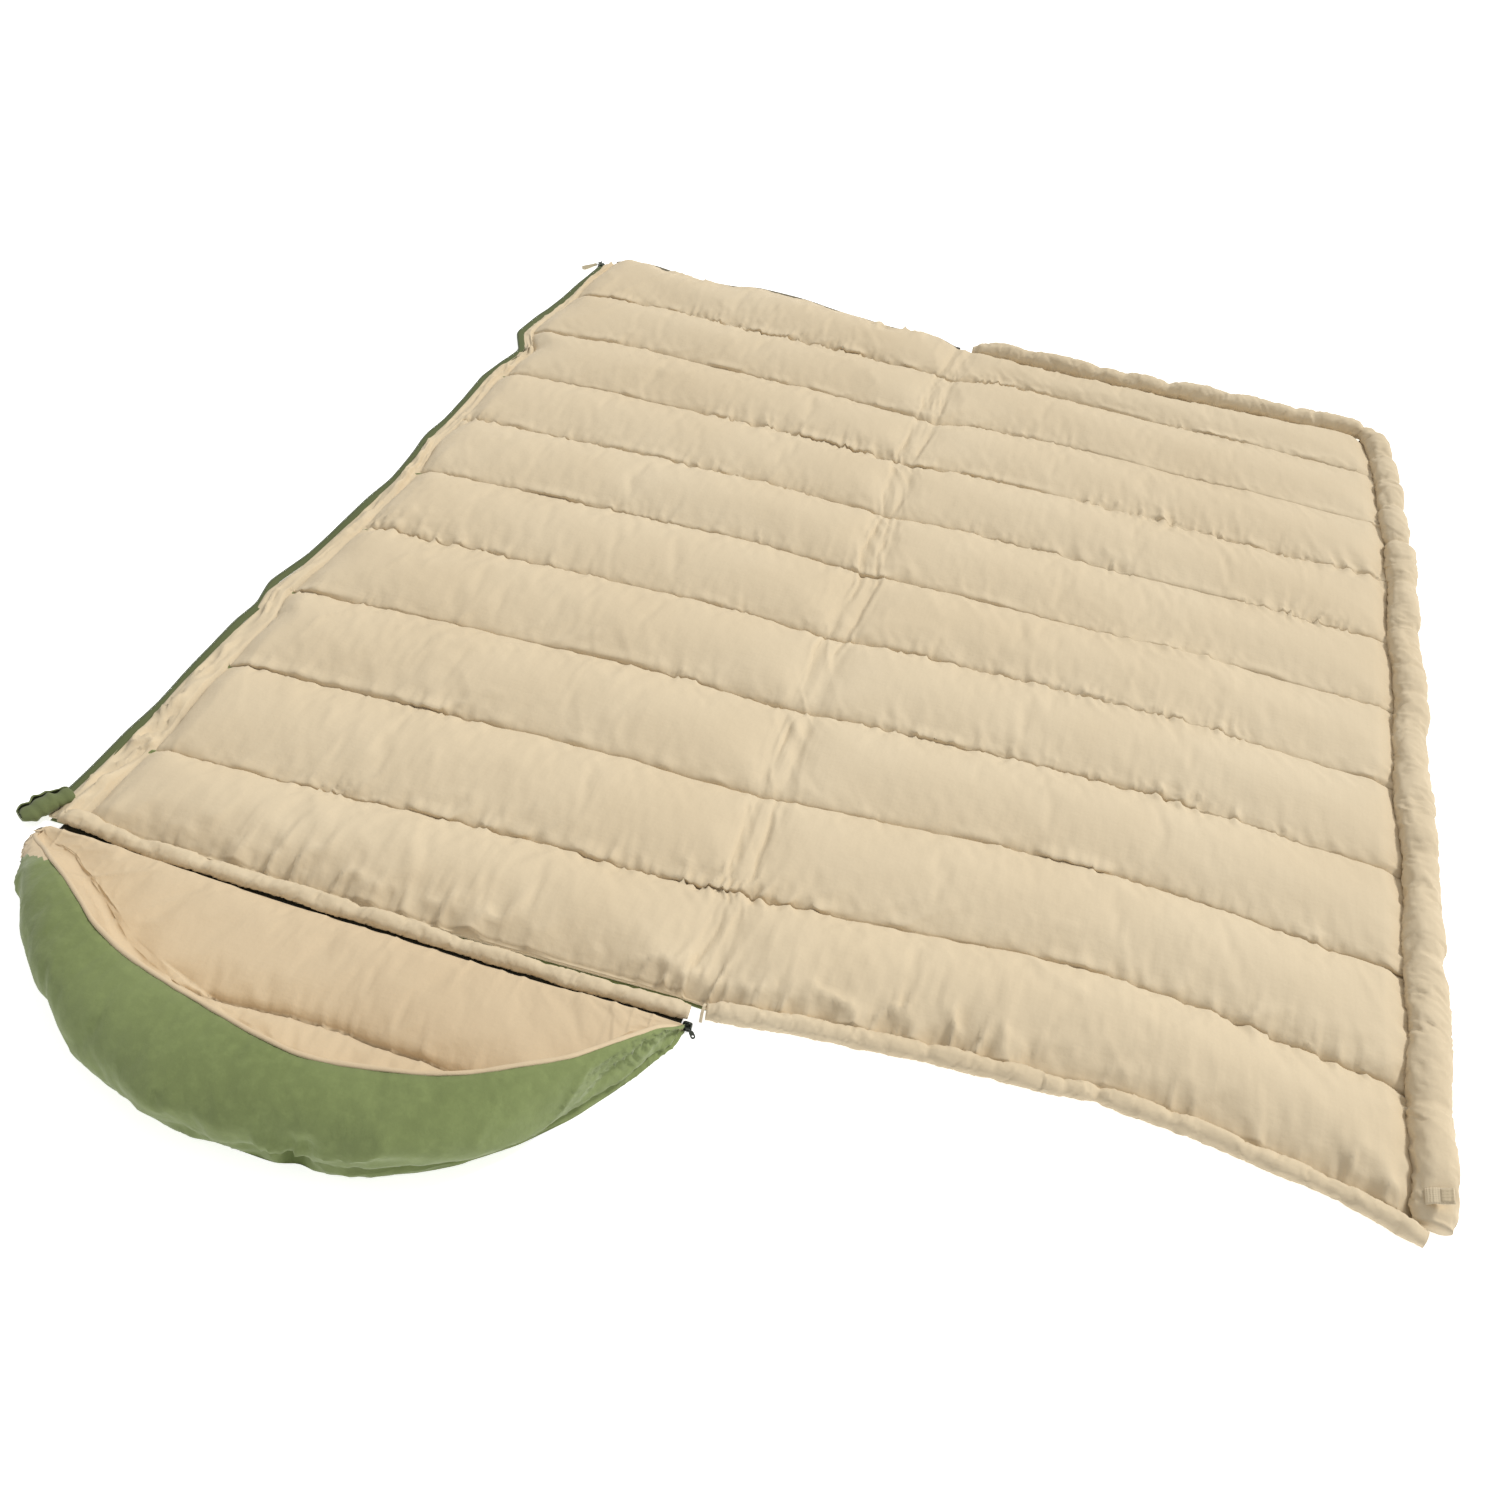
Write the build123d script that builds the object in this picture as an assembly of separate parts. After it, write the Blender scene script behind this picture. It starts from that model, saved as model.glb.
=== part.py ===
from build123d import *
import math
import os

# Rectangular hooded sleeping bag, unzipped and laid open as a quilt, lining side up.
# Row frame: +Z up, the floor at Z = 0, +Y from the head end to the foot end, +X from the
# zipped (left) half to the draft-tube (right) half. The origin is the centre of the
# bounding box's underside. Everything is drawn about the fold line (X = 0) and the foot
# corner (Y = 0), then shifted once at the end. Millimetres.

# ---- driving dimensions -------------------------------------------------------------
PITCH = 198.5            # distance between two quilting seams
FIRST_SEAM_Y = -150.0    # seam nearest the foot
SEAMS = 9                # seams per half, so ten chambers
SHELL_T = 1.0            # outer shell fabric
LINING_T = 0.8           # lining fabric
GAP = 0.3                # air between fabric layers
SEAM_Z = 8.0             # loft left under a seam
CROWN_Z = 36.0           # loft at the middle of a chamber
HALF_GUSSET = 14.0       # half width of the fold strip between the halves
FOLD_Z = 43.5            # height of the fold axis: both lofts meet there

L_OUT, L_FOOT, L_HEAD = -848.0, 38.0, -1914.0      # left batting limits
R_OUT, R_FOOT, R_HEAD = 850.0, -22.0, -1925.0     # right batting limits

ZIP_X = -891.0           # line of the side zip on the left half
ZIP_R = 20.0             # corner radius of the zip
FOOT_ZIP_Y = 62.0        # line of the foot zip on the left half, which lies further out
R_FOOT_ZIP_Y = 21.0      # line of the foot zip on the right half
COIL_W, COIL_H, COIL_Z = 3.8, 2.6, 3.3
TAPE_T = 0.6

TUBE_X, TUBE_Z = 893.0, 26.0       # side draft tube, centre of its section
TUBE_W, TUBE_H = 52.0, 40.0
FTUBE_Y, FTUBE_W = 5.0, 50.0      # foot draft tube

COLLAR_R = 1694.6                  # the right half's head edge is an arc
COLLAR_CX, COLLAR_APEX_Y = 434.5, -1872.0
COLLAR_W, COLLAR_H = 26.0, 21.0
HEAD_TUBE_Y, HEAD_TUBE_W, HEAD_TUBE_H = -1926.5, 18.0, 17.0

HOOD_ZIP_Y, HOOD_ZIP_Z = -1946.0, 3.0
HOOD_CX, HOOD_CY, HOOD_R = -432.5, -1826.6, 446.0
RIM_R, RIM_W, RIM_H = 420.0, 50.0, 86.0
RIM_START_DEG = 27.4               # how far the rim's ends stay from the hood zip
HOOD_LOFT = 22.0

SLIDER_L, SLIDER_W = 15.0, 13.0
SLIDER_Y = 29.0                    # where the main slider rests, near the foot corner
PULL_AZ = 225.0                    # direction of the main pull tab, degrees from +X
PULL_DROOP = 8.4                  # the tab's end lies on the floor


def face(edges):
    return Face(Wire(edges))


def seam_ys(lo, hi):
    """Chamber limits from the foot end to the head end."""
    ys = [FIRST_SEAM_Y - PITCH * k for k in range(SEAMS)]
    return [hi] + [y for y in ys if lo < y < hi] + [lo]


def quilt(x0, x1, lo, hi, slope0, slope1, g=0.0):
    """A quilted pad: ten crowned chambers side by side along Y, thinner towards both X edges, grown by g."""
    zb = SHELL_T + GAP
    ys = seam_ys(lo, hi)
    edges, pts = [], []
    for i, y in enumerate(ys):
        yy = y + g if i == 0 else y - g if i == len(ys) - 1 else y
        pts.append((yy, SEAM_Z + g))
    for (ya, za), (yb, zb2) in zip(pts, pts[1:]):
        edges.append(
            Edge.make_three_point_arc(
                Vector(0, ya, za), Vector(0, (ya + yb) / 2, CROWN_Z + g), Vector(0, yb, zb2)
            )
        )
    last, first = pts[-1], pts[0]
    edges.append(Edge.make_line(Vector(0, *last), Vector(0, last[0], zb)))
    edges.append(Edge.make_line(Vector(0, last[0], zb), Vector(0, first[0], zb)))
    edges.append(Edge.make_line(Vector(0, first[0], zb), Vector(0, *first)))
    a = extrude(face(edges), amount=x1 - x0 + 2 * g, dir=(1, 0, 0))
    a = Pos(x0 - g, 0, 0) * a
    top = 70.0
    e0, e1 = 7.0 + g, 13.0 + g
    xz = [
        (x0 - g, zb),
        (x0 - g, e0),
        (x0 - g + (top - e0) / slope0, top),
        (x1 + g - (top - e1) / slope1, top),
        (x1 + g, e1),
        (x1 + g, zb),
    ]
    vs = [Vector(x, 0, z) for x, z in xz]
    loop = [Edge.make_line(p, q) for p, q in zip(vs, vs[1:] + vs[:1])]
    b = extrude(face(loop), amount=(hi - lo) + 40, dir=(0, 1, 0))
    b = Pos(0, lo - 20, 0) * b
    return a & b


def box(x0, x1, y0, y1, z0, z1):
    return Pos((x0 + x1) / 2, (y0 + y1) / 2, (z0 + z1) / 2) * Box(x1 - x0, y1 - y0, z1 - z0)


def upright_cylinder(cx, cy, r, z0, z1):
    return Pos(cx, cy, (z0 + z1) / 2) * Cylinder(r, z1 - z0)


def ellipse_bar(axis, a, b, length, at):
    """A bar of elliptical section: a across, b up, along X or Y."""
    pl = Plane(origin=at, x_dir=(0, 1, 0), z_dir=(1, 0, 0)) if axis == "X" else Plane(
        origin=at, x_dir=(1, 0, 0), z_dir=(0, 1, 0)
    )
    return extrude(pl * Ellipse(a / 2, b / 2), amount=length)


def ellipse_tube(axis, a, b, t, length, at):
    return ellipse_bar(axis, a, b, length, at) - ellipse_bar(
        axis, a - 2 * t, b - 2 * t, length, at
    )


parts = {}

# ---- left half (the root body) -------------------------------------------------------
left_core = quilt(L_OUT, -HALF_GUSSET, L_HEAD, L_FOOT, 0.545, 1.2)
parts["left_batting"] = left_core
parts["left_lining"] = quilt(
    L_OUT, -HALF_GUSSET, L_HEAD, L_FOOT, 0.545, 1.2, GAP + LINING_T
) - quilt(L_OUT, -HALF_GUSSET, L_HEAD, L_FOOT, 0.545, 1.2, GAP)
parts["left_outer_shell"] = box(-876, -HALF_GUSSET, -1934, L_FOOT + 10, 0, SHELL_T)
parts["left_zip_facing"] = box(-876, L_OUT - 1.6, -1880, L_FOOT, 1.3, 2.3)

# side zip on the left half: tape, then the coil sewn along its edge, round the foot corner
coil_x = ZIP_X + 1.5 + COIL_W / 2          # the coil runs on the inner side of the slider's post
coil_y = FOOT_ZIP_Y - 1.5 - COIL_W / 2


def rounded_bar(w, h):
    return RectangleRounded(w, h, h * 0.45)


def corner_revolve(sk_w, sk_h, z, r, cx, cy, a0, a1):
    """A bar's section turned about the upright axis through (cx, cy), from angle a0 to a1."""
    sec = Plane(origin=(cx + r, cy, z), x_dir=(1, 0, 0), z_dir=(0, -1, 0)) * rounded_bar(sk_w, sk_h)
    turned = revolve(sec, axis=Axis((cx, cy, 0), (0, 0, 1)), revolution_arc=a1 - a0)
    return turned.rotate(Axis((cx, cy, 0), (0, 0, 1)), a0)


corner_x, corner_y = coil_x + ZIP_R, coil_y - ZIP_R
side_coil = extrude(
    Plane(origin=(coil_x, -1888, COIL_Z), x_dir=(1, 0, 0), z_dir=(0, 1, 0))
    * rounded_bar(COIL_W, COIL_H),
    amount=corner_y + 1888,
)
corner_coil = corner_revolve(COIL_W, COIL_H, COIL_Z, ZIP_R, corner_x, corner_y, 90, 180)
parts["left_side_zip_coil"] = side_coil + corner_coil
parts["left_foot_zip_coil"] = extrude(
    Plane(origin=(corner_x, coil_y, COIL_Z), x_dir=(0, 1, 0), z_dir=(1, 0, 0))
    * rounded_bar(COIL_W, COIL_H),
    amount=-30 - corner_x,
)
tz0, tz1 = COIL_Z - TAPE_T / 2, COIL_Z + TAPE_T / 2
tape_in = coil_x + COIL_W / 2
parts["left_side_zip_tape"] = box(tape_in, tape_in + 20, -1888, corner_y, tz0, tz1) + (
    upright_cylinder(corner_x, corner_y, ZIP_R - COIL_W / 2, tz0, tz1)
    & box(tape_in - 5, corner_x, corner_y, corner_y + 40, tz0, tz1)
)
parts["left_foot_zip_tape"] = box(
    corner_x, -30, coil_y - COIL_W / 2 - 11, coil_y - COIL_W / 2, tz0, tz1
)
parts["left_zip_top_stop"] = box(coil_x - 2.6, coil_x + 2.6, -1893, -1888, 1.4, 5.2)
parts["zip_retainer_box"] = box(-29.9, -20, coil_y - 4.5, coil_y + 4.5, 1.3, 6.3)

# folded zip garage at the head corner, a flap of shell fabric rolled over the zip's end
gar = [
    (-902, -1898),
    (-883, -1896),
    (-870, -1901),
    (-868, -1915),
    (-873, -1934),
    (-886, -1950),
    (-906, -1953),
    (-921, -1941),
    (-924, -1925),
    (-916, -1908),
]
gpts = [Vector(x, y, 2.6) for x, y in gar]
garage_wire = Wire([Edge.make_spline(gpts, periodic=True)])
garage = extrude(Face(garage_wire), amount=27, dir=(0, 0, 1))
parts["zip_garage_flap"] = garage
parts["zip_garage_base"] = box(-874, -852, -1933, -1882, 1.3, 2.3)
parts["closure_loop_patch"] = box(-865, -851, -1914, -1890, 2.6, 4.0)

# head tube and hood zip on the left half
ht_len = 862.0
ht_at = (-860.0, HEAD_TUBE_Y, 4.4 + HEAD_TUBE_H / 2)
parts["head_tube_cover"] = ellipse_tube("X", HEAD_TUBE_W, HEAD_TUBE_H, LINING_T, ht_len, ht_at)
parts["head_tube_filling"] = ellipse_bar(
    "X", HEAD_TUBE_W - 2 * LINING_T - 0.6, HEAD_TUBE_H - 2 * LINING_T - 0.6, ht_len, ht_at
)
parts["hood_zip_tape_panel_side"] = box(-862, -6, HOOD_ZIP_Y + 4.2, -1922, 3.1, 3.7)
for side, s in (("panel", 1), ("hood", -1)):
    parts[f"hood_zip_coil_{side}_side"] = extrude(
        Plane(origin=(-862, HOOD_ZIP_Y + s * 2.8, HOOD_ZIP_Z), x_dir=(0, 1, 0), z_dir=(1, 0, 0))
        * rounded_bar(2.4, 2.4),
        amount=856,
    )
parts["fold_outer_strip"] = box(-HALF_GUSSET, HALF_GUSSET, -1915, 10, 0, SHELL_T)
parts["fold_lining_strip"] = box(-HALF_GUSSET + 1.6, HALF_GUSSET - 1.6, -1913, 4, 1.3, 2.1)

# ---- right half ----------------------------------------------------------------------
collar_cy = COLLAR_APEX_Y - COLLAR_R
edge_r = COLLAR_R + COLLAR_W / 2 + 2.0


def right_quilt(g):
    q = quilt(HALF_GUSSET, R_OUT, R_HEAD, R_FOOT, 1.2, 0.545, g)
    return q - upright_cylinder(COLLAR_CX, collar_cy, edge_r - g, -5, 90)


parts["right_batting"] = right_quilt(0.0)
parts["right_lining"] = right_quilt(GAP + LINING_T) - right_quilt(GAP)
parts["right_outer_shell"] = box(HALF_GUSSET, 880, -1930, 10, 0, SHELL_T) - upright_cylinder(
    COLLAR_CX, collar_cy, COLLAR_R - 4, -5, 20
)
rcoil_x = 888.0
parts["right_side_zip_tape"] = box(864, rcoil_x - COIL_W / 2, -1888, 6, 2.4, 3.0)
parts["right_side_zip_coil"] = extrude(
    Plane(origin=(rcoil_x, -1888, 2.7), x_dir=(1, 0, 0), z_dir=(0, 1, 0))
    * rounded_bar(COIL_W, COIL_H),
    amount=1894,
)
parts["right_foot_zip_tape"] = box(
    30, 864, R_FOOT_ZIP_Y - COIL_W / 2 - 14, R_FOOT_ZIP_Y - COIL_W / 2, 2.4, 3.0
)
parts["right_foot_zip_coil"] = extrude(
    Plane(origin=(30, R_FOOT_ZIP_Y, 2.7), x_dir=(0, 1, 0), z_dir=(1, 0, 0)) * rounded_bar(COIL_W, COIL_H),
    amount=834,
)
parts["right_zip_top_stop"] = box(rcoil_x - 2.8, rcoil_x + 2.8, -1893.5, -1888, 0.8, 4.8)
parts["zip_insertion_pin"] = box(20, 29.9, R_FOOT_ZIP_Y - 1.6, R_FOOT_ZIP_Y + 1.6, 1.4, 4.4)

side_at = (TUBE_X, -1904, TUBE_Z)
parts["side_tube_cover"] = ellipse_tube("Y", TUBE_W, TUBE_H, LINING_T, 1940, side_at)
parts["side_tube_filling"] = ellipse_bar(
    "Y", TUBE_W - 2 * LINING_T - 0.6, TUBE_H - 2 * LINING_T - 0.6, 1940, side_at
)
foot_at = (24.0, FTUBE_Y, TUBE_Z)
parts["foot_tube_cover"] = ellipse_tube("X", FTUBE_W, TUBE_H, LINING_T, 840, foot_at)
parts["foot_tube_filling"] = ellipse_bar(
    "X", FTUBE_W - 2 * LINING_T - 0.6, TUBE_H - 2 * LINING_T - 0.6, 840, foot_at
)


def arc_bar(r, a, b, z, cx, cy, a0, a1, ring=0.0):
    pl = Plane(origin=(cx + r, cy, z), x_dir=(1, 0, 0), z_dir=(0, -1, 0))
    sec = pl * Ellipse(a / 2, b / 2)
    if ring:
        sec = sec - pl * Ellipse(a / 2 - ring, b / 2 - ring)
    turned = revolve(sec, axis=Axis((cx, cy, 0), (0, 0, 1)), revolution_arc=a1 - a0)
    return turned.rotate(Axis((cx, cy, 0), (0, 0, 1)), a0)


half = math.degrees(math.asin(410.0 / COLLAR_R))
cz = 2.2 + COLLAR_H / 2
parts["collar_tube_cover"] = arc_bar(
    COLLAR_R, COLLAR_W, COLLAR_H, cz, COLLAR_CX, collar_cy, 90 - half, 90 + half, LINING_T
)
parts["collar_tube_filling"] = arc_bar(
    COLLAR_R,
    COLLAR_W - 2 * LINING_T - 0.6,
    COLLAR_H - 2 * LINING_T - 0.6,
    cz,
    COLLAR_CX,
    collar_cy,
    90 - half,
    90 + half,
)
parts["collar_end_loop"] = box(15.4, 18.8, -1936, -1913, 1.4, 24.5)

# hook-and-loop tab at the head end of the side tube, hinged on its sewn edge
TAB_X, TAB_Z, TAB_ANGLE, TAB_L, TAB_W, TAB_Y = 858.0, 30.0, 33.0, 32.0, 22.0, -1888.0


def tab_piece(x0, x1, z0, z1, w):
    b = box(x0, x1, -w / 2, w / 2, z0, z1)
    return Pos(TAB_X, TAB_Y, TAB_Z) * (Rot(0, -TAB_ANGLE, 0) * b)


parts["closure_tab_webbing"] = tab_piece(0, TAB_L, 0.0, 1.4, TAB_W)
parts["closure_tab_hook_patch"] = tab_piece(TAB_L - 14, TAB_L - 1, 1.4, 2.6, TAB_W - 3)

# ---- hood ----------------------------------------------------------------------------
HOOD_EDGE_Y = HOOD_ZIP_Y - 23.0


def hood_cut(r, z0, z1, y_edge=HOOD_EDGE_Y):
    return upright_cylinder(HOOD_CX, HOOD_CY, r, z0, z1) & box(-1000, 100, -2400, y_edge, z0, z1)


parts["hood_base_shell"] = hood_cut(HOOD_R, 0, SHELL_T)
pad_r = RIM_R - RIM_W / 2 - 2.2


def hood_pad(g):
    pad = hood_cut(pad_r + g, SHELL_T + GAP, HOOD_LOFT + g, HOOD_EDGE_Y + g)
    # the pad thins towards the zip
    vs = [
        Vector(0, HOOD_EDGE_Y + g, -5),
        Vector(0, HOOD_EDGE_Y + g, 5.0 + g),
        Vector(0, HOOD_EDGE_Y + g - 60, 60 + g),
        Vector(0, -2400, 60 + g),
        Vector(0, -2400, -5),
    ]
    wedge = extrude(
        face([Edge.make_line(p, q) for p, q in zip(vs, vs[1:] + vs[:1])]), amount=1100, dir=(1, 0, 0)
    )
    return pad & (Pos(-1000, 0, 0) * wedge)


parts["hood_base_batting"] = hood_pad(0.0)
parts["hood_base_lining"] = hood_pad(GAP + LINING_T) - hood_pad(GAP)
parts["hood_zip_tape_hood_side"] = box(-858, -8, HOOD_EDGE_Y + 1.6, HOOD_ZIP_Y - 4.2, 1.3, 1.9)
a0, a1 = 180 + RIM_START_DEG, 360 - RIM_START_DEG
rim_z = SHELL_T + GAP + RIM_H / 2
rim_ring = arc_bar(RIM_R, RIM_W, RIM_H, rim_z, HOOD_CX, HOOD_CY, a0, a1, 1.0)
outside = upright_cylinder(HOOD_CX, HOOD_CY, 700, -5, 120) - upright_cylinder(
    HOOD_CX, HOOD_CY, RIM_R, -6, 121
)
inside = upright_cylinder(HOOD_CX, HOOD_CY, RIM_R, -6, 121)
parts["hood_rim_outer_cover"] = rim_ring & outside
parts["hood_rim_inner_cover"] = rim_ring & inside
parts["hood_rim_filling"] = arc_bar(
    RIM_R, RIM_W - 2.6, RIM_H - 2.6, rim_z, HOOD_CX, HOOD_CY, a0, a1
)
parts["hood_edge_binding"] = arc_bar(
    RIM_R - 4.0, 9.0, 6.0, rim_z + RIM_H / 2 + 3.3, HOOD_CX, HOOD_CY, a0, a1
)


# ---- zip sliders ---------------------------------------------------------------------
def slider_body(length, width, bottom, gap_z, plate, slot):
    """Zip slider along local Y, centred on the zip line: two plates, a post at the front and flanges that leave a slot for the tapes."""
    z1 = bottom + plate
    z2 = z1 + gap_z
    z3 = z2 + plate
    top = Pos(0, 0, (z2 + z3) / 2) * extrude(
        RectangleRounded(width, length, 3.0), amount=plate / 2, both=True
    )
    low = Pos(0, 0, (bottom + z1) / 2) * extrude(
        RectangleRounded(width, length, 3.0), amount=plate / 2, both=True
    )
    post = box(-1.2, 1.2, length / 2 - 5.5, length / 2 - 1.2, z1 - 0.2, z2 + 0.2)
    body = top + low + post
    zc = (z1 + z2) / 2
    for s in (-1, 1):
        x_in, x_out = width / 2 - 0.9, width / 2
        for z0, zz in ((z1 - 0.2, zc - slot / 2), (zc + slot / 2, z2 + 0.2)):
            lo, hi = sorted((s * x_in, s * x_out))
            body += box(lo, hi, -length / 2 + 3.0, length / 2 - 3.0, z0, zz)
    return body, z3


def bridge(length, w, h, z0):
    """The slider's crown: an arch along local Y that the pull hangs from."""
    outer = box(-w / 2, w / 2, -length / 2, length / 2, z0, z0 + h)
    hole = box(-w, w, -length / 2 + 1.6, length / 2 - 1.6, z0 - 1, z0 + h - 1.5)
    arch = outer - hole
    return fillet(arch.edges().filter_by(Axis.X).sort_by(Axis.Z)[-2:], 1.2)


body, top_z = slider_body(SLIDER_L, SLIDER_W, 0.3, 3.4, 1.3, 1.5)
at = Pos(ZIP_X, SLIDER_Y, 0)
parts["main_slider_body"] = at * body
parts["main_slider_bridge"] = at * bridge(9.0, 1.8, 5.6, top_z)
PIVOT_Z = top_z + 2.6
PIVOT = (ZIP_X, SLIDER_Y, PIVOT_Z)


def wire_link(length, spread, end_half, r):
    """A bent wire link in the XY plane: its cross bar lies on the origin, its arms run along +X."""
    path = FilletPolyline(
        (length, -end_half, 0),
        (length - 3.0, -end_half, 0),
        (length - 6.0, -spread, 0),
        (0, -spread, 0),
        (0, spread, 0),
        (length - 6.0, spread, 0),
        (length - 3.0, end_half, 0),
        (length, end_half, 0),
        radius=0.9,
    )
    return sweep(Plane(origin=path @ 0, z_dir=path % 0) * Circle(r), path=path)


# main pull: the link passes through the crown and carries a flat flared grip
LINK_L = 12.0
link = wire_link(LINK_L - 0.3, 5.2, 2.6, 0.7)
grip_pts = [
    (LINK_L, -4.2),
    (LINK_L + 12, -4.6),
    (LINK_L + 27, -7.2),
    (LINK_L + 33, -6.6),
    (LINK_L + 35.5, 0),
]
gp = [Vector(x, y, -1.5) for x, y in grip_pts] + [
    Vector(x, -y, -1.5) for x, y in reversed(grip_pts[:-1])
]
grip_wire = Wire([Edge.make_spline(gp), Edge.make_line(gp[-1], gp[0])])
grip = extrude(Face(grip_wire), amount=3.0, dir=(0, 0, 1))
pull_at = Pos(*PIVOT) * Rot(0, 0, PULL_AZ) * Rot(0, PULL_DROOP, 0)
parts["main_pull_link"] = pull_at * link
parts["main_pull_grip"] = pull_at * grip

# small slider of the hood zip, at the zip's closed end, its crown along X
HS_X = 4.0
hbody, htop = slider_body(12.0, 11.0, 0.3, 3.0, 1.2, 1.5)
hat = Pos(HS_X, HOOD_ZIP_Y, 0) * Rot(0, 0, -90)
parts["hood_slider_body"] = hat * hbody
parts["hood_slider_bridge"] = hat * bridge(8.0, 1.5, 4.8, htop)
HPIVOT = (HS_X, HOOD_ZIP_Y, htop + 2.4)
eye = wire_link(9.5, 4.4, 1.6, 0.6)
leaf_sk = Pos(15.4, 0) * (SlotOverall(11.0, 6.0) - Pos(2.0, 0) * Circle(1.3))
leaf = Pos(0, 0, -0.6) * extrude(leaf_sk, amount=1.2)
H_AZ, H_DROOP = 312.0, 10.0
hood_pull_at = Pos(*HPIVOT) * Rot(0, 0, H_AZ) * Rot(0, H_DROOP, 0)
parts["hood_pull_eye"] = hood_pull_at * eye
parts["hood_pull_leaf"] = hood_pull_at * leaf

# ---- shift to the row frame and write ------------------------------------------------
lo = [1e9] * 3
hi = [-1e9] * 3
for s in parts.values():
    b = s.bounding_box()
    for k, (p, q) in enumerate(zip((b.min.X, b.min.Y, b.min.Z), (b.max.X, b.max.Y, b.max.Z))):
        lo[k], hi[k] = min(lo[k], p), max(hi[k], q)
SHIFT = (-(lo[0] + hi[0]) / 2, -(lo[1] + hi[1]) / 2, 0.0)
print("bbox before shift", [round(v, 3) for v in lo], [round(v, 3) for v in hi])
print("shift", [round(v, 4) for v in SHIFT])


def moved(p):
    return [round((a + b) / 1000.0, 6) for a, b in zip(p, SHIFT)]


print("fold axis", moved((0, 0, FOLD_Z)))
print("hood axis", moved((HOOD_CX, HOOD_ZIP_Y, HOOD_ZIP_Z)))
print("main pivot", moved(PIVOT), "az", PULL_AZ)
print("hood pull az", H_AZ)
print("hood pivot", moved(HPIVOT))
print("tab axis", moved((TAB_X, TAB_Y, TAB_Z)))
print("underside", moved((-430, -900, 0)))
print("opening", moved((-672, -2130, 26)), moved((-193, -1985, 80)))
for old in os.listdir("parts") if os.path.isdir("parts") else []:
    if old.endswith(".step"):
        os.remove(os.path.join("parts", old))
os.makedirs("parts", exist_ok=True)
for name, s in parts.items():
    s = Pos(*SHIFT) * s
    solids = s.solids()
    out = solids[0] if len(solids) == 1 else Compound(solids)
    export_step(out, f"parts/{name}.step")
print(len(parts), "nodes")
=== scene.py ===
import math

import bmesh
import bpy
import numpy as np
from mathutils import Matrix, Vector


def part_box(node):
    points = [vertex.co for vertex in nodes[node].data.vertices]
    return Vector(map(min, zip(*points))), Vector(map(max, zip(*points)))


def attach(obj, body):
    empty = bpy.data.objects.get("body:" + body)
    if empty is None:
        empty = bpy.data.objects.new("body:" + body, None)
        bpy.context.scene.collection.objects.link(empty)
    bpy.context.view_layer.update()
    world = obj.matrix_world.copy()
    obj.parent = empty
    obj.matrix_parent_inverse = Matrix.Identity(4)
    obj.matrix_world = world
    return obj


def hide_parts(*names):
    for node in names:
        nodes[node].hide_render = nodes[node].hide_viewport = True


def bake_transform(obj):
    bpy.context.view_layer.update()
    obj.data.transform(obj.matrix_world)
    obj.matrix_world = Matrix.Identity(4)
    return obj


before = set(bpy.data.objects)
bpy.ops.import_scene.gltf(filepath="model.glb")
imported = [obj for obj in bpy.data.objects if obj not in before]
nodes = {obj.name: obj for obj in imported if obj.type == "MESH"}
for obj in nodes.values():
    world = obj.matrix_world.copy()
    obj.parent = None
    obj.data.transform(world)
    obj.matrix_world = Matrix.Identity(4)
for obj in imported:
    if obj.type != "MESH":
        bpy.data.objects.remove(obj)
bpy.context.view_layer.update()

# The bag is drawn about its fold line (x = 0) and its foot corner (y = 0), then shifted to the frame.
_lo, _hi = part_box("left_outer_shell")
SX, SY = _lo[0] + 0.876, _lo[1] + 1.934


# ---------------------------------------------------------------- helpers
def _hash(ix, iy, s):
    h = (ix * 374761393 + iy * 668265263 + s * 1442695041) & 0xFFFFFFFF
    h = ((h ^ (h >> 13)) * 1274126177) & 0xFFFFFFFF
    h = ((h ^ (h >> 15)) * 2246822519) & 0xFFFFFFFF
    return ((h ^ (h >> 16)) & 0xFFFFFFFF) / 4294967295.0 * 2 - 1


def vn(x, y, s=0):
    """Smooth value noise in -1..1."""
    x, y = np.asarray(x, float), np.asarray(y, float)
    x, y = np.broadcast_arrays(x, y)
    x0, y0 = np.floor(x).astype(np.int64), np.floor(y).astype(np.int64)
    fx, fy = x - x0, y - y0
    u, v = fx * fx * fx * (fx * (fx * 6 - 15) + 10), fy * fy * fy * (fy * (fy * 6 - 15) + 10)
    a, b = _hash(x0, y0, s), _hash(x0 + 1, y0, s)
    c, d = _hash(x0, y0 + 1, s), _hash(x0 + 1, y0 + 1, s)
    return (a * (1 - u) + b * u) * (1 - v) + (c * (1 - u) + d * u) * v


def fbm(x, y, s=0, octaves=3):
    t, a, n = 0.0, 1.0, 0.0
    for k in range(octaves):
        t = t + a * vn(np.asarray(x) * 2**k, np.asarray(y) * 2**k, s + 17 * k)
        n += a
        a *= 0.5
    return t / n


def ss(a, b, x):
    t = np.clip((np.asarray(x, float) - a) / (b - a), 0, 1)
    return t * t * (3 - 2 * t)


def interp(pts, x):
    p = np.array(sorted(pts), float)
    return np.interp(x, p[:, 0], p[:, 1])


def smooth_line(pts, x, width, n=9):
    """Linear interpolation averaged over a width, which rounds its corners."""
    out = 0.0
    for k in np.linspace(-1, 1, n):
        out = out + interp(pts, np.asarray(x, float) + k * width)
    return out / n


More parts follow.
